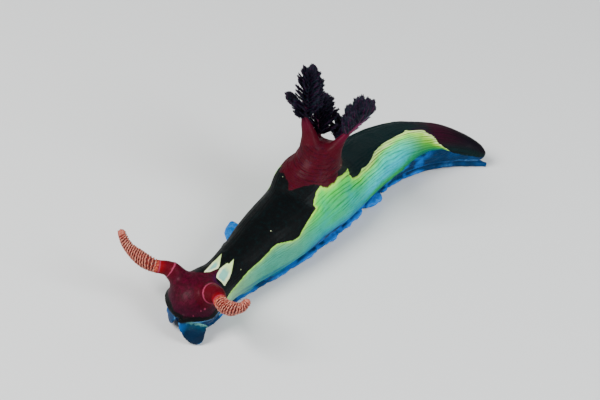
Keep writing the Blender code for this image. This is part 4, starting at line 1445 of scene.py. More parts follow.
def skin_material(colours):
    """Black back, crimson saddle, maroon head and tail, pale flank, blue foot."""
    material, _, shader = new_material("nembrotha_skin")
    nodes = SkinNodes(material.node_tree, colours)
    foot = foot_colour(nodes)
    colour = nodes.mix(nodes.marking(nodes.blue, 0.3, 0.06, nodes.streaks), flank_colour(nodes), foot)
    for add_marking in (add_back_and_tail, add_saddle_and_patches, add_head, add_stalks, add_stems):
        colour = add_marking(nodes, colour)
    colour = add_specks(nodes, add_flaps(nodes, colour, foot))
    wet = nodes.group(shared_group("wet_skin", wet_skin_group), Place=nodes.mm)
    mottle = nodes.range(wet["Mottle"], 0.3, 0.7, 0.86, 1.1, "LINEAR")
    shade = nodes.add("ShaderNodeCombineColor", {0: mottle, 1: mottle, 2: mottle}).outputs[0]
    relief = skin_relief(nodes, wet["Height"])
    bump = nodes.add("ShaderNodeBump", {"Strength": 0.8, "Distance": 0.00011, "Height": relief})
    nodes.feed(shader, {
        "Base Color": nodes.mix(1.0, colour, shade, "MULTIPLY"), "Roughness": wet["Roughness"],
        "Normal": bump.outputs[0], "Specular IOR Level": 0.07, "Coat Weight": 0.03,
        "Coat Roughness": 0.25,
    })
    return material


def tint(name, description, colour):
    """A colour that a user can change."""
    return FloatVectorProperty(name=name, description=description, default=colour, subtype="COLOR")


def length_setting(name, description, length, least=0.0):
    """A small length that a user can change."""
    return FloatProperty(
        name=name, description=description, default=length, min=least, subtype="DISTANCE",
        unit="LENGTH", precision=5,
    )


SKIN_NODES = (
    "head", "neck", "body_front", "body_middle", "body_rear", "tail", "foot_front", "foot_middle",
    "foot_rear", "oral_tentacle_left", "oral_tentacle_right", "rhinophore_left_stalk",
    "rhinophore_right_stalk", "gill_base",
)
SKIN_TRIANGLES = 190000


class SkinSettings(bpy.types.PropertyGroup):
    """Sizes and colours of the skin."""

    grain: length_setting("Grain", "Size of the skin's mesh", 0.00013, 0.00005)
    wrinkle_depth: length_setting("Wrinkle depth", "Relief of the lengthwise wrinkles of the flank", 0.0001)
    fold_depth: length_setting("Fold depth", "Relief of the folds round the gill", 0.00004)
    black: tint("Black", "Back", (0.0012, 0.0018, 0.0022))
    # Painted teal sheen on the back; also the blue-black low on the tail's sides.
    blue_black_and_sheen: tint("Blue black", "Cooler parts of the back", (0.0005, 0.011, 0.012))
    crimson: tint("Crimson", "Saddle round the gill and its stems", (0.052, 0.0001, 0.0055))
    # Painted shade in the grooves of the saddle's folds.
    saddle_fold_shade: tint("Dark crimson", "Furrows of the saddle", (0.016, 0.0002, 0.003))
    maroon: tint("Maroon", "Head", (0.03, 0.0001, 0.0052))
    lit_maroon: tint("Light maroon", "Lit parts of the head", (0.062, 0.0002, 0.012))
    dusk: tint("Dusk", "Head above its black margin", (0.016, 0.0008, 0.01))
    tail_maroon: tint("Tail maroon", "Tail", (0.024, 0.0005, 0.009))
    tail_violet: tint("Tail violet", "End of the tail", (0.003, 0.0012, 0.005))
    violet: tint("Violet", "Borders of the red parts", (0.03, 0.0015, 0.03))
    magenta: tint("Magenta", "Upper part of the gill's bare stems", (0.075, 0.0004, 0.015))
    stalk: tint("Stalk red", "Stalk of a rhinophore", (0.075, 0.0002, 0.005))
    scarlet: tint("Scarlet", "Upper part of the stalk", (0.2, 0.001, 0.004))
    salmon: tint("Salmon", "Grains at the top of the stalk", (0.42, 0.09, 0.05))
    pink: tint("Pink", "Rings round sheath and stalk", (0.3, 0.04, 0.09))
    cream: tint("Cream", "Palest streaks of the flank", (0.80, 0.92, 0.52))
    # Painted shade in the grooves between the flank's wrinkles.
    groove_shade: tint("Furrow", "Grooves between the wrinkles of the flank", (0.008, 0.07, 0.02))
    lime: tint("Lime", "Flank along the black border", (0.36, 0.72, 0.08))
    pale_lime: tint("Pale lime", "Tips of the patches on the neck", (0.62, 0.85, 0.32))
    aqua: tint("Aqua", "Middle of the patches on the neck", (0.22, 0.56, 0.45))
    sea: tint("Sea blue", "Upper part of the oral flaps", (0.001, 0.036, 0.07))
    navy: tint("Navy", "Lower part of the oral flaps", (0.0002, 0.011, 0.034))
    deep_blue: tint("Deep blue", "Foot", (0.0002, 0.026, 0.085))
    # Painted light: the foot where it is lit, most towards its margin.
    lit_azure: tint("Azure", "Margin of the foot", (0.0004, 0.16, 0.62))
    pale_blue: tint("Pale blue", "Lit edge of the foot", (0.12, 0.38, 0.75))


class NEMBROTHA_OT_make_skin(bpy.types.Operator):
    """Makes one skin over the body, foot, sheaths, pedestal and stems"""

    bl_idname = "nembrotha.make_skin"
    bl_label = "Make the Skin"

    def execute(self, context):
        settings = context.scene.nembrotha_skin
        skin = add_object("nembrotha_skin", skin_shells().mesh("nembrotha_skin", 1.0))
        remesh = skin.modifiers.new("Remesh", "REMESH")
        remesh.mode = "VOXEL"
        remesh.voxel_size = settings.grain / MM
        apply_modifiers(skin)
        soften_joins(skin.data)
        carve_skin(skin.data, settings.wrinkle_depth / MM, settings.fold_depth / MM)
        triangles = 2 * len(skin.data.polygons)
        if triangles > SKIN_TRIANGLES:
            thin = skin.modifiers.new("Decimate", "DECIMATE")
            thin.ratio = SKIN_TRIANGLES / triangles
            apply_modifiers(skin)
        for layer in list(skin.data.attributes):
            if layer.domain == "POINT" and not (layer.is_required or layer.is_internal):
                skin.data.attributes.remove(layer)
        mark_skin(skin.data)
        skin.data.transform(Matrix.Scale(MM, 4))
        skin.data.shade_smooth()
        skin.data.materials.clear()
        skin.data.materials.append(skin_material(settings))
        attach(skin, "root")
        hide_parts(*SKIN_NODES)
        return {"FINISHED"}


def repeat_tree():
    """Sets a form from a collection on every root point, turned and sized by the
    point's own values and swung a little at random."""
    tree, nodes, given, made = new_tree("GeometryNodeTree", "repeat_forms", (
        ("Geometry", "Geometry"), ("Forms", "Collection"), ("Swing", "Float"), ("Size variation", "Float"),
        ("Seed", "Int"), ("Material", "Material"),
    ), (("Geometry", "Geometry"),))
    forms = nodes.add("GeometryNodeCollectionInfo", {
        "Collection": given["Forms"], "Separate Children": True, "Reset Children": True,
    })
    kind, turn, size = (
        nodes.add("GeometryNodeInputNamedAttribute", {"Name": label}, data_type=data_type).outputs[0]
        for label, data_type in (("kind", "INT"), ("turn", "QUATERNION"), ("size", "FLOAT_VECTOR"))
    )
    placed = nodes.add("GeometryNodeInstanceOnPoints", {
        "Points": given["Geometry"], "Instance": forms.outputs[0], "Pick Instance": True,
        "Instance Index": kind, "Rotation": turn, "Scale": size,
    })
    swing = nodes.add("FunctionNodeRandomValue", {
        "Min": nodes.times(given["Swing"], -1.0), "Max": given["Swing"], "Seed": given["Seed"],
    }, data_type="FLOAT_VECTOR")
    swung = nodes.add("GeometryNodeRotateInstances", {
        "Instances": placed.outputs[0], "Rotation": swing.outputs[0], "Local Space": True,
    })
    variation = given["Size variation"]
    draw = nodes.add("FunctionNodeRandomValue", {
        2: nodes.minus(1.0, variation), 3: nodes.plus(1.0, variation), "Seed": given["Seed"],
    })
    grown = nodes.add("GeometryNodeScaleInstances", {
        "Instances": swung.outputs[0], "Scale": draw.outputs[1], "Local Space": True,
    })
    real = nodes.add("GeometryNodeRealizeInstances", {"Geometry": grown.outputs[0]})
    dressed = nodes.add(
        "GeometryNodeSetMaterial", {"Geometry": real.outputs[0], "Material": given["Material"]},
    )
    tree.links.new(dressed.outputs[0], made["Geometry"])
    return tree


def repeat(name, roots, forms, material, swing, variation, seed):
    """Turns root points into a mesh of repeated forms. Each root is a place, a
    turn, a size, the number of its form and a vector kept on what is set there."""
    mesh = bpy.data.meshes.new(name + "_roots")
    mesh.from_pydata([root[0] for root in roots], [], [])
    turn = mesh.attributes.new("turn", "QUATERNION", "POINT")
    turn.data.foreach_set("value", [v for root in roots for v in root[1]])
    set_values(mesh, "size", [root[2] for root in roots])
    kind = mesh.attributes.new("kind", "INT", "POINT")
    kind.data.foreach_set("value", [root[3] for root in roots])
    set_values(mesh, "root_place", [root[4] for root in roots])
    thing = add_object(name, mesh)
    gathered = bpy.data.collections.new(name + "_forms")
    bpy.context.scene.collection.children.link(gathered)
    for k, form in enumerate(forms):
        gathered.objects.link(bpy.data.objects.new(f"{name}_form_{k}", form))
    tree = shared_group("repeat_forms", repeat_tree)
    modifier = thing.modifiers.new("Repeat", "NODES")
    modifier.node_group = tree
    values = {
        "Forms": gathered, "Swing": swing, "Size variation": variation, "Seed": seed, "Material": material,
    }
    for item in tree.interface.items_tree:
        if item.in_out == "INPUT" and item.name in values:
            modifier[item.identifier] = values[item.name]
    apply_modifiers(thing)
    for form in list(gathered.objects):
        bpy.data.objects.remove(form)
    bpy.data.collections.remove(gathered)
    thing.data.shade_smooth()
    return thing


def join_meshes(name, meshes):
    """One mesh of several, with their values and materials kept."""
    things = [add_object(f"{name}_{k}", mesh) for k, mesh in enumerate(meshes)]
    with bpy.context.temp_override(active_object=things[0], selected_editable_objects=things):
        bpy.ops.object.join()
    things[0].name = name
    things[0].data.name = name
    return things[0]


def frame_turn(x_axis, y_axis):
    """The turn that brings X and Y onto two directions."""
    x_axis = Vector(x_axis).normalized()
    z_axis = x_axis.cross(Vector(y_axis)).normalized()
    y_axis = z_axis.cross(x_axis)
    return Matrix((x_axis, y_axis, z_axis)).transposed().to_quaternion()


LAMELLA_SIDES = 56
LAMELLA_SLOPE = 0.5
LAMELLA_SWAY = 0.09
LAMELLA_INNER = 0.5
# Section of a plate, as radius and height, from its inner edge out and back
LAMELLA_SECTION = (
    (LAMELLA_INNER, -0.07), (0.84, -0.055), (0.95, -0.06), (1.0, -0.02),
    (1.0, 0.02), (0.95, 0.06), (0.84, 0.055), (LAMELLA_INNER, 0.07),
)


def lamella_form(seed, lobes):
    """A thin ring plate of radius 1 across X, its edge thrown into small waves
    that are deepest at the back, +Z. Its thickness is in millimetres."""
    chance = random.Random(seed)
    phases = [chance.uniform(0, 2 * math.pi) for _ in range(3)]
    points, faces, edge = [], [], []
    for angle in even_angles(LAMELLA_SIDES):
        back = 0.4 + 0.6 * max(0.0, math.sin(angle))
        quick, slow = math.sin(lobes * angle + phases[0]), math.sin(3 * angle + phases[1])
        crinkle = back * (0.035 * quick + 0.025 * slow)
        sway = back * LAMELLA_SWAY * math.sin(lobes * angle + phases[2])
        for radius, height in LAMELLA_SECTION:
            outer = max(0.0, (radius - LAMELLA_INNER) / (1 - LAMELLA_INNER))
            reach = radius * (1 + crinkle * outer)
            points.append((height + sway * outer, reach * math.cos(angle), reach * math.sin(angle)))
            edge.append(outer)
    count = len(LAMELLA_SECTION)
    for j in range(LAMELLA_SIDES):
        faces += ring_faces(j * count, (j + 1) % LAMELLA_SIDES * count, count)
    mesh = bpy.data.meshes.new("lamella")
    mesh.from_pydata(points, [], faces)
    turn_out(mesh)
    set_values(mesh, "edge", edge)
    return mesh


def club_radius(form, t):
    """Radius of a club's outline, from its foot to its tip."""
    t = np.asarray(t, float)
    swell = np.sin(np.pi * np.minimum(1.0, 1.6 * t))
    radius = STALK_TOP_RADIUS + (form["club"] - STALK_TOP_RADIUS) * swell
    return radius + (form["club"] * CLUB_TIP_SHARE - radius) * t ** 2.2


def club_material(colours):
    """Orange-red plates with pale pink, speckled edges."""
    material, nodes, shader = new_material("rhinophore_club")
    mm = millimetres(nodes)
    speckle = nodes.noise(mm, 5.5, 2.0, 0.6)
    deep = nodes.mix(nodes.range(speckle, 0.35, 0.7), colours.deep, colours.salmon)
    pale = nodes.mix(nodes.range(speckle, 0.4, 0.62), colours.edge_pink, colours.edge_cream)
    edge = nodes.plus(nodes.attribute("edge"), nodes.sway(speckle, 0.5))
    colour = nodes.mix(nodes.range(edge, 0.52, 0.96), deep, pale)
    tip = nodes.range(nodes.attribute("tip"), 0.86, 1.0, 0.0, 0.6)
    colour = nodes.mix(tip, colour, colours.edge_pink)
    return wet_finish(
        material, nodes, shader, mm, colour, grain=9.0, gloss=0.5, relief=0.5, depth=0.00004, specular=0.3,
    )


class ClubSettings(bpy.types.PropertyGroup):
    """Sizes and colours of the rhinophore clubs."""

    spacing: length_setting("Spacing", "From one plate of a club to the next", 0.00033, 0.0001)
    seed: IntProperty(name="Seed", description="Draws the variation of the plates", default=11)
    salmon: tint("Salmon", "Faces of the plates", (0.2, 0.012, 0.006))
    deep: tint("Deep orange", "Grooves between the plates", (0.06, 0.0015, 0.002))
    edge_pink: tint("Edge pink", "Edges of the plates", (0.36, 0.065, 0.042))
    edge_cream: tint("Edge cream", "Palest specks of the edges", (0.56, 0.23, 0.16))


CLUB_OVERLAP = 0.01
CORE_RINGS = 44
CORE_SIDES = 26
KEEL_RINGS = 40
KEEL_SIDES = 10
KEEL_RADIUS = 0.11
LAST_PLATE = 0.95
PLATE_SWING = 0.03
PLATE_FORMS = 3
REPEAT_VALUES = ("root_place", "turn", "size", "kind")


def round_end(t, start, least):
    """Closes a tube's end in a round, from full at start to a least share at 1."""
    return np.sqrt(np.clip(1 - np.clip((t - start) / (1 - start), 0, 1) ** 2, least, 1))


def club_core(form, start, span):
    """The core of a club, and the pale keel along its outer side."""
    route = form["route"]
    core = Shells()
    t = np.linspace(0, 1, CORE_RINGS)
    shape = 0.8 + 0.16 * smooth_step(0.88, 0.96, t)
    radii = club_radius(form, t) * shape * np.maximum(round_end(t, 0.93, 0), 0.08)
    end, _ = route_points(route, 1.0)
    core.loft(
        tube(route, start + span * t * 0.985, radii, CORE_SIDES), None, end,
        edge=0.12 + 0.7 * smooth_step(0.85, 0.95, t), tip=t,
    )
    t = np.linspace(0.04, 0.965, KEEL_RINGS)
    centres, ways = route_points(route, start + span * t)
    sideways = level_across(ways)
    below = np.cross(ways, sideways)
    keel = centres + below * (club_radius(form, t) * 0.99)[:, None]
    turn = even_angles(KEEL_SIDES)[None, :, None]
    ring = KEEL_RADIUS * (sideways[:, None] * np.cos(turn) * 1.5 + below[:, None] * np.sin(turn))
    number = np.arange(KEEL_RINGS)
    ends = np.minimum(1, np.minimum(number + 1, KEEL_RINGS - number) / 4)
    core.loft(keel[:, None] + ring * ends[:, None, None], edge=0.85, tip=t)
    return core.mesh("core")


def plate_roots(side, form, start, span, settings):
    """Where the plates sit on a club, how they lean and how large they are."""
    chance = random.Random(settings.seed + len(side))
    roots = []
    count = round(route_length(form["route"]) * span * MM / settings.spacing)
    for k in range(1, count):
        t = k / count * LAST_PLATE
        centre, way = route_points(form["route"], start + span * t)
        radius = float(club_radius(form, t)) * (1 + chance.uniform(-0.03, 0.03))
        sideways = np.cross(way, (0.0, 0.0, 1.0))
        lean = LAMELLA_SLOPE * min(1.0, 5 * t, 5 * (1 - t))
        turn = Quaternion(Vector(sideways).normalized(), -lean) @ frame_turn(way, sideways)
        size = (MM, radius * MM, radius * MM * math.hypot(1, lean * 0.7))
        roots.append((tuple(centre * MM), tuple(turn), size, k % PLATE_FORMS, (t, 0.0, 0.0)))
    return roots


def make_club(side, form, settings, material):
    """A club: a core along the route with a keel, and slanting plates close on it."""
    start = form["stalk"] - CLUB_OVERLAP
    core = club_core(form, start, 1 - start)
    roots = plate_roots(side, form, start, 1 - start, settings)
    forms = [lamella_form(settings.seed + k, 8 + 2 * k) for k in range(PLATE_FORMS)]
    plates = repeat(f"rhinophore_{side}_plates", roots, forms, material, PLATE_SWING, 0.0, settings.seed)
    for plate in forms:
        bpy.data.meshes.remove(plate)
    mesh = plates.data
    set_values(mesh, "tip", read_vectors(mesh.attributes["root_place"].data, "vector")[:, 0])
    drop_values(mesh, *REPEAT_VALUES)
    core.materials.append(material)
    bpy.data.objects.remove(plates)
    return join_meshes(f"rhinophore_{side}_lamellae", [mesh, core])


class NEMBROTHA_OT_make_clubs(bpy.types.Operator):
    """Makes the two rhinophore clubs with their plates"""

    bl_idname = "nembrotha.make_clubs"
    bl_label = "Make the Rhinophore Clubs"

    def execute(self, context):
        settings = context.scene.nembrotha_clubs
        material = club_material(settings)
        for side, form in RHINOPHORES.items():
            club = make_club(side, form, settings, material)
            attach(club, "root")
            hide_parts(f"rhinophore_{side}_club")
        return {"FINISHED"}


BRANCH_OUTLINE = ((0.0, 0.45), (0.2, 0.95), (0.45, 1.0), (0.7, 0.85), (0.88, 0.55), (1.0, 0.25))
PINNULE_STATIONS = 14
PINNULE_WIDTH = 0.05
# Share of a side branch and its fullness there
PINNULE_OUTLINE = ((0.0, 0.55), (0.35, 1.0), (0.78, 0.8))
AXIS_STATIONS = 9
AXIS_SIDES = 5
AXIS_RADIUS = 0.17
BRANCH_FORMS = 3
# Tiers of branchlets, from the outermost in: share of the full length, and shift
TIERS = ((1.0, 0.0), (0.8, 0.5), (0.55, 0.25))
UV_PATCH = 0.003


def branchlet_form(seed):
    """A gill branchlet along X, of length 1 and half width 1: a bowed axis with
    leaf-like side branches in two rows and a shorter row on its upper face."""
    chance = random.Random(seed)
    bow = chance.uniform(0.10, 0.22)
    points, faces, vein, spot = [], [], [], []

    def bend(x, y, z):
        return (x, y, z + bow * x * x * 2.0 - 0.02 * y * y)

    for k in range(AXIS_STATIONS):
        t = k / (AXIS_STATIONS - 1)
        radius = AXIS_RADIUS * (1 - 0.7 * t)
        for angle in even_angles(AXIS_SIDES):
            points.append(bend(t * 0.97, radius * math.cos(angle), radius * math.sin(angle)))
            vein.append(1.0)
            spot.append((t, 0.5, 0.5 + 0.4 * math.cos(angle)))
    last = (AXIS_STATIONS - 1) * AXIS_SIDES
    for here in range(0, last, AXIS_SIDES):
        faces += ring_faces(here, here + AXIS_SIDES, AXIS_SIDES)
    faces.append(tuple(reversed(range(AXIS_SIDES))))
    faces.append(tuple(range(last, last + AXIS_SIDES)))

    def pinnule(root, reach, width, thickness, side, lift):
        """One side branch, from the axis outwards."""
        first = len(points)
        way = Vector((0.42 * reach, side * reach, lift * reach))
        flat = Vector((1.0, -0.3 * side, 0.0)).normalized()
        deep = Vector((0.0, -lift, 1.0)).normalized() if side else Vector((0.0, 1.0, 0.0))
        for share, fullness in PINNULE_OUTLINE:
            middle = Vector((root, 0.0, 0.0)) + Vector((way.x * 0.5 * share, way.y * share, way.z * share))
            wide = flat * width * fullness
            thick = deep * thickness * (1 - 0.5 * share)
            for corner in (wide, thick, -wide, -thick):
                points.append(bend(*(middle + corner)))
                vein.append(max(0.0, 0.6 - 0.75 * share))
                spot.append((root, share, 0.5 + 0.5 * corner.x / max(width, 1e-6)))
        points.append(bend(*(Vector((root, 0.0, 0.0)) + Vector((way.x * 0.55, way.y, way.z)))))
        vein.append(0.0)
        spot.append((root, 1.0, 0.5))
        faces.append((first + 3, first + 2, first + 1, first))
        for here in (first, first + 4):
            faces.extend(ring_faces(here, here + 4, 4))
        for j in range(4):
            faces.append((first + 8 + j, first + 8 + (j + 1) % 4, first + 12))

    for k in range(PINNULE_STATIONS):
        t = 0.07 + 0.9 * k / (PINNULE_STATIONS - 1)
        full = float(smooth_curve(BRANCH_OUTLINE, t, 1)) * chance.uniform(0.86, 1.08)
        for side in (1, -1):
            reach = full * chance.uniform(0.9, 1.06)
            root = t + chance.uniform(-0.01, 0.01)
            pinnule(root, reach, PINNULE_WIDTH, 0.12, side, chance.uniform(-0.05, 0.25))
        if k % 2 == 0:
            pinnule(t, 0.5 * full, PINNULE_WIDTH, 0.1, 0, chance.uniform(0.8, 1.1))
    mesh = bpy.data.meshes.new("branchlet")
    mesh.from_pydata(points, [], faces)
    turn_out(mesh)
    set_values(mesh, "vein", vein)
    set_values(mesh, "spot", spot)
    return mesh


def branchlet_roots(plume, chance, lane):
    """Where branchlets grow on both sides of a stem, in tiers that grow sparser,
    shorter and more upright inwards."""
    route, bare = plume["route"], plume["bare"]
    roots = []
    rows = [(side, scale, shift) for scale, shift in TIERS for side in (1, -1)]
    for side, scale, shift in rows:
        pairs = round(plume["pairs"] * (0.4 + 0.6 * scale))
        for k in range(pairs):
            share = (k + 0.25 + 0.5 * shift) / pairs
            along = bare - 0.02 + (LAST_BRANCHLETS - bare + 0.02) * share
            centre, way = (Vector(v) for v in route_points(route, along))
            outward = Vector((centre.x - GILL_CENTRE[0], centre.y - GILL_CENTRE[1], 0.0))
            outward.rotate(Quaternion((0, 0, 1), math.radians(plume["twist"])))
            outward = (outward - way * outward.dot(way)).normalized()
            sideways = way.cross(outward)
            inward = min(78.0, plume["inward"] + 85.0 * (1 - scale))
            lean = math.radians(inward + chance.uniform(-7, 7))
            reach = (
                sideways * (side * math.cos(lean)) - outward * math.sin(lean)
                + way * (BRANCHLET_FORWARD + chance.uniform(-0.08, 0.08) + 0.5 * share)
            ).normalized()
            flat = (way - reach * way.dot(reach)).normalized()
            twist = side * (BRANCHLET_TWIST + chance.uniform(-0.15, 0.15))
            across = flat * math.cos(twist) + reach.cross(flat) * math.sin(twist)
            length = plume["longest"] * float(smooth_curve(BRANCHLET_LENGTHS, share, 1))
            length *= scale * chance.uniform(0.9, 1.06)
            half = BRANCHLET_WIDTH / 2 * (0.7 + 0.3 * length / plume["longest"])
            if (reach.cross(across)).dot(way) < 0:
                across = -across
            turn = frame_turn(reach, across)
            size = (length * MM, half * MM, half * MM)
            roots.append((
                tuple(centre * MM), tuple(turn), size, chance.randrange(BRANCH_FORMS),
                (0.06 + 0.88 * share, lane + 0.1 * side * scale, side * 0.1),
            ))
    return roots


def stem_material(colours):
    """Crimson stems that turn violet, then slate blue towards their tips; their rose and violet are partly a
    painted highlight, the slate blue partly a painted sheen.
    """
    material, nodes, shader = new_material("gill_stem")
    mm = millimetres(nodes)
    mottle = nodes.noise(mm, 1.8, 3.0, 0.6)
    colour = nodes.ramp(nodes.plus(nodes.attribute("share"), nodes.sway(mottle, 0.12)), (
        (0.0, colours.magenta), (1.0, colours.night_and_sheen), (0.3, colours.rose), (0.55, colours.violet),
        (0.8, colours.slate),
    ))
    return wet_finish(
        material, nodes, shader, mm, colour, grain=7.0, gloss=0.42, relief=0.5, depth=0.00005, specular=0.25,
    )


def branchlet_material(colours):
    """Purple-black branchlets with violet-pink lines along their axes; their blue-black is partly a painted
    sheen.
    """
    material, nodes, shader = new_material("gill_branchlets")
    mm = millimetres(nodes)
    speckle = nodes.noise(mm, 3.5, 3.0, 0.6)
    dark = nodes.mix(nodes.range(speckle, 0.35, 0.7), colours.night_and_sheen, colours.purple)
    vein = nodes.range(nodes.attribute("vein"), 0.25, 0.9)
    colour = nodes.mix(nodes.times(vein, nodes.range(speckle, 0.3, 0.6, 0.5, 1.0)), dark, colours.violet)
    return wet_finish(
        material, nodes, shader, mm, colour, grain=8.0, gloss=0.5, relief=0.4, depth=0.00003, specular=0.2,
    )


class GillSettings(bpy.types.PropertyGroup):
    """Sizes and colours of the gill."""

    swing: FloatProperty(
        name="Swing", description="How far branchlets turn from their row", default=0.09,
        subtype="ANGLE", unit="ROTATION")
    variation: FloatProperty(
        name="Size variation", description="How much branchlets differ in size", default=0.07,
        min=0.0, max=0.5, subtype="FACTOR")
    seed: IntProperty(name="Seed", description="Draws the variation of the branchlets", default=7)
    # Partly a painted sheen: the blue of the darkest branchlets and of the stems' tips.
    night_and_sheen: tint("Night", "Darkest branchlets", (0.0006, 0.010, 0.018))
    purple: tint("Purple", "Branchlets", (0.016, 0.0015, 0.02))
    violet: tint("Violet", "Lines of the axes", (0.11, 0.008, 0.075))
    # Partly a painted highlight on the stems above the fork.
    rose: tint("Rose", "Stems above the fork", (0.12, 0.006, 0.05))
    magenta: tint("Magenta", "Stems where the branchlets start", (0.075, 0.0004, 0.015))
    # Partly a painted sheen: the teal-blue of the upper stems.
    slate: tint("Slate", "Upper stems", (0.016, 0.028, 0.055))


STEM_RINGS = 40
STEM_SIDES = 14
STEM_OVERLAP = 0.02
# Where across the bake map the branchlets of a plume, and of its side plume, lie
BAKE_LANES = (0.3, 0.75)


def add_feathered_stem(stems, plume):
    """The length of a stem that carries branchlets, with a rounded tip."""
    start = plume["bare"] - STEM_OVERLAP
    shares = np.linspace(start, 1.0, STEM_RINGS)
    join = 0.86 + 0.14 * smooth_step(start, start + 0.1, shares)
    radii = stem_radius(plume, shares) * join * round_end(shares, 0.985, 0.02)
    rings = tube(plume["route"], shares, radii, STEM_SIDES)
    stems.loft(rings, share=(shares - start) / (1 - start))


class NEMBROTHA_OT_make_gill(bpy.types.Operator):
    """Makes the stems and branchlets of the gill's plumes"""

    bl_idname = "nembrotha.make_gill"
    bl_label = "Make the Gill"

    def execute(self, context):
        settings = context.scene.nembrotha_gill
        stem_finish, branch_finish = stem_material(settings), branchlet_material(settings)
        forms = [branchlet_form(settings.seed + k) for k in range(BRANCH_FORMS)]
        for number, (group, names) in enumerate(PLUME_GROUPS.items()):
            chance = random.Random(settings.seed + number)
            stems, roots = Shells(), []
            for lane, name in zip(BAKE_LANES, names):
                add_feathered_stem(stems, PLUMES[name])
                roots += branchlet_roots(PLUMES[name], chance, lane)
            stem_mesh = stems.mesh(group + "_stem")
            stem_mesh.materials.append(stem_finish)
            stem = add_object(group + "_stem", stem_mesh)
            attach(stem, "root")
            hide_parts(group)
            feathers = repeat(
                group + "_branchlets", roots, forms, branch_finish, settings.swing, settings.variation,
                settings.seed + number,
            )
            lay_bake_map(feathers.data)
            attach(feathers, "root")
            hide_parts(group)
        for form in forms:
            bpy.data.meshes.remove(form)
        return {"FINISHED"}


def lay_bake_map(mesh):
    """Gives each side branch a small patch at its root's place on an unwrap of
    the stem: along the stem across the map, out along the branchlet up the map."""
    root, spot = (read_vectors(mesh.attributes[name].data, "vector") for name in ("root_place", "spot"))
    u = root[:, 0] + UV_PATCH * (spot[:, 2] - 0.5)
    v = root[:, 1] + root[:, 2] * spot[:, 0] + UV_PATCH * (spot[:, 1] - 0.5)
    corners = np.empty(len(mesh.loops), np.int32)
    mesh.loops.foreach_get("vertex_index", corners)
    layer = mesh.uv_layers.new(name="OFBake")
    layer.data.foreach_set("uv", np.stack([u, v], 1)[corners].astype(np.float32).ravel())
    drop_values(mesh, "spot", *REPEAT_VALUES)


CAMERA_AZIMUTH = math.radians(24.1)
CAMERA_ELEVATION = math.radians(36.3)
CAMERA_ROLL = math.radians(-13.5)
CAMERA_DISTANCE = 0.2
CAMERA_TARGET = Vector((0.0, 0.0, 0.003))
CAMERA_LENS = 100.7
CAMERA_SHIFT = (-0.0275, 0.001)
FLOOR_REACH = 1.5
FLOOR_DROP = 0.00002
# Lights: name, place, the point that they face, size and colour
LAMPS = (
    ("key", (-0.12, -0.24, 0.26), (0.0, 0.0, 0.005), 0.16, (1.0, 0.985, 0.96)),
    ("fill", (0.22, 0.0, 0.2), (0.006, 0.014, 0.004), 0.16, (0.95, 0.98, 1.0)),
    ("rim", (-0.06, 0.28, 0.2), (0.0, 0.0, 0.005), 0.14, (0.95, 0.98, 1.0)),
)
SKY_COLOUR = (0.93, 0.97, 1.0, 1.0)


class StageSettings(bpy.types.PropertyGroup):
    """Floor and lights."""

    floor: tint("Floor", "Colour of the floor", (0.76, 0.77, 0.77))
    key: FloatProperty(name="Key light", description="Power of the main light", default=2.0, unit="POWER")
    fill: FloatProperty(name="Fill light", description="Power of the fill light", default=0.8, unit="POWER")
    rim: FloatProperty(name="Rim light", description="Power of the light behind", default=0.12, unit="POWER")
    sky: FloatProperty(name="Sky", description="Strength of the even light", default=0.27)


def camera_axes():
    """The camera's direction back from its target, and its right and up."""
    a, e, roll = CAMERA_AZIMUTH, CAMERA_ELEVATION, CAMERA_ROLL
    back = Vector((math.sin(a) * math.cos(e), -math.cos(a) * math.cos(e), math.sin(e)))
    right = Vector((math.cos(a), math.sin(a), 0.0))
    up = back.cross(right)
    return back, right * math.cos(roll) + up * -math.sin(roll), right * math.sin(roll) + up * math.cos(roll)


def add_lamp(name, place, aim, size, colour, power):
    """A square soft light aimed at a point."""
    lamp = bpy.data.lights.new(name, "AREA")
    lamp.shape = "SQUARE"
    lamp.size = size
    lamp.energy = power
    lamp.color = colour
    thing = bpy.data.objects.new(name, lamp)
    thing.location = place
    thing.rotation_euler = (Vector(aim) - Vector(place)).to_track_quat("-Z", "Y").to_euler()
    bpy.context.scene.collection.objects.link(thing)


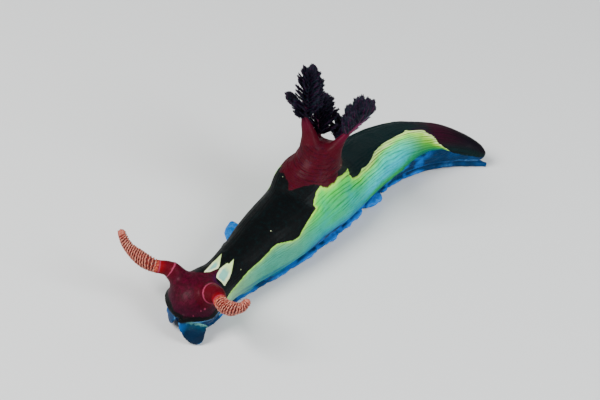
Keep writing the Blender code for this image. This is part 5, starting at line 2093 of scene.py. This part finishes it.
class NEMBROTHA_OT_make_stage(bpy.types.Operator):
    """Makes the floor, the lights and the camera"""

    bl_idname = "nembrotha.make_stage"
    bl_label = "Make the Stage"

    def execute(self, context):
        settings = context.scene.nembrotha_stage
        mesh = bpy.data.meshes.new("floor")
        corners = ((-1, -1), (1, -1), (1, 1), (-1, 1))
        points = [(x * FLOOR_REACH, y * FLOOR_REACH, -FLOOR_DROP) for x, y in corners]
        mesh.from_pydata(points, [], [(0, 1, 2, 3)])
        material, nodes, shader = new_material("floor")
        nodes.feed(shader, {"Base Color": settings.floor, "Roughness": 0.75})
        mesh.materials.append(material)
        add_object("floor", mesh)
        for lamp in LAMPS:
            add_lamp(*lamp, getattr(settings, lamp[0]))
        world = bpy.data.worlds.new("studio")
        world.use_nodes = True
        sky = world.node_tree.nodes["Background"]
        sky.inputs["Color"].default_value = SKY_COLOUR
        sky.inputs["Strength"].default_value = settings.sky
        context.scene.world = world
        lens = bpy.data.cameras.new("camera")
        lens.lens = CAMERA_LENS
        lens.sensor_width = 36.0
        lens.shift_x, lens.shift_y = CAMERA_SHIFT
        lens.clip_start, lens.clip_end = 0.005, 10.0
        camera = bpy.data.objects.new("camera", lens)
        back, right, up = camera_axes()
        turn = Matrix((right, up, back)).transposed().to_4x4()
        camera.matrix_world = Matrix.Translation(CAMERA_TARGET + back * CAMERA_DISTANCE) @ turn
        context.scene.collection.objects.link(camera)
        context.scene.camera = camera
        return {"FINISHED"}


class NEMBROTHA_PT_panel(bpy.types.Panel):
    """Lists the steps and their sizes and colours"""

    bl_idname = "NEMBROTHA_PT_panel"
    bl_label = "Nembrotha"
    bl_space_type = "VIEW_3D"
    bl_region_type = "UI"
    bl_category = "Nembrotha"

    def draw(self, context):
        for step, group in STEPS:
            box = self.layout.box()
            box.operator(step.bl_idname)
            settings = getattr(context.scene, group)
            for name in settings.__class__.__annotations__:
                box.prop(settings, name)


STEPS = (
    (NEMBROTHA_OT_make_skin, "nembrotha_skin"),
    (NEMBROTHA_OT_make_clubs, "nembrotha_clubs"),
    (NEMBROTHA_OT_make_gill, "nembrotha_gill"),
    (NEMBROTHA_OT_make_stage, "nembrotha_stage"),
)
SETTINGS = {
    "nembrotha_skin": SkinSettings,
    "nembrotha_clubs": ClubSettings,
    "nembrotha_gill": GillSettings,
    "nembrotha_stage": StageSettings,
}
CLASSES = (*SETTINGS.values(), *(step for step, _ in STEPS), NEMBROTHA_PT_panel)


def register():
    for kind in CLASSES:
        bpy.utils.register_class(kind)
    for name, kind in SETTINGS.items():
        setattr(bpy.types.Scene, name, PointerProperty(type=kind))


def unregister():
    for name in SETTINGS:
        delattr(bpy.types.Scene, name)
    for kind in reversed(CLASSES):
        bpy.utils.unregister_class(kind)


def main():
    register()
    bpy.ops.nembrotha.make_skin()
    bpy.ops.nembrotha.make_clubs()
    bpy.ops.nembrotha.make_gill()
    bpy.ops.nembrotha.make_stage()


if __name__ == "__main__":
    main()
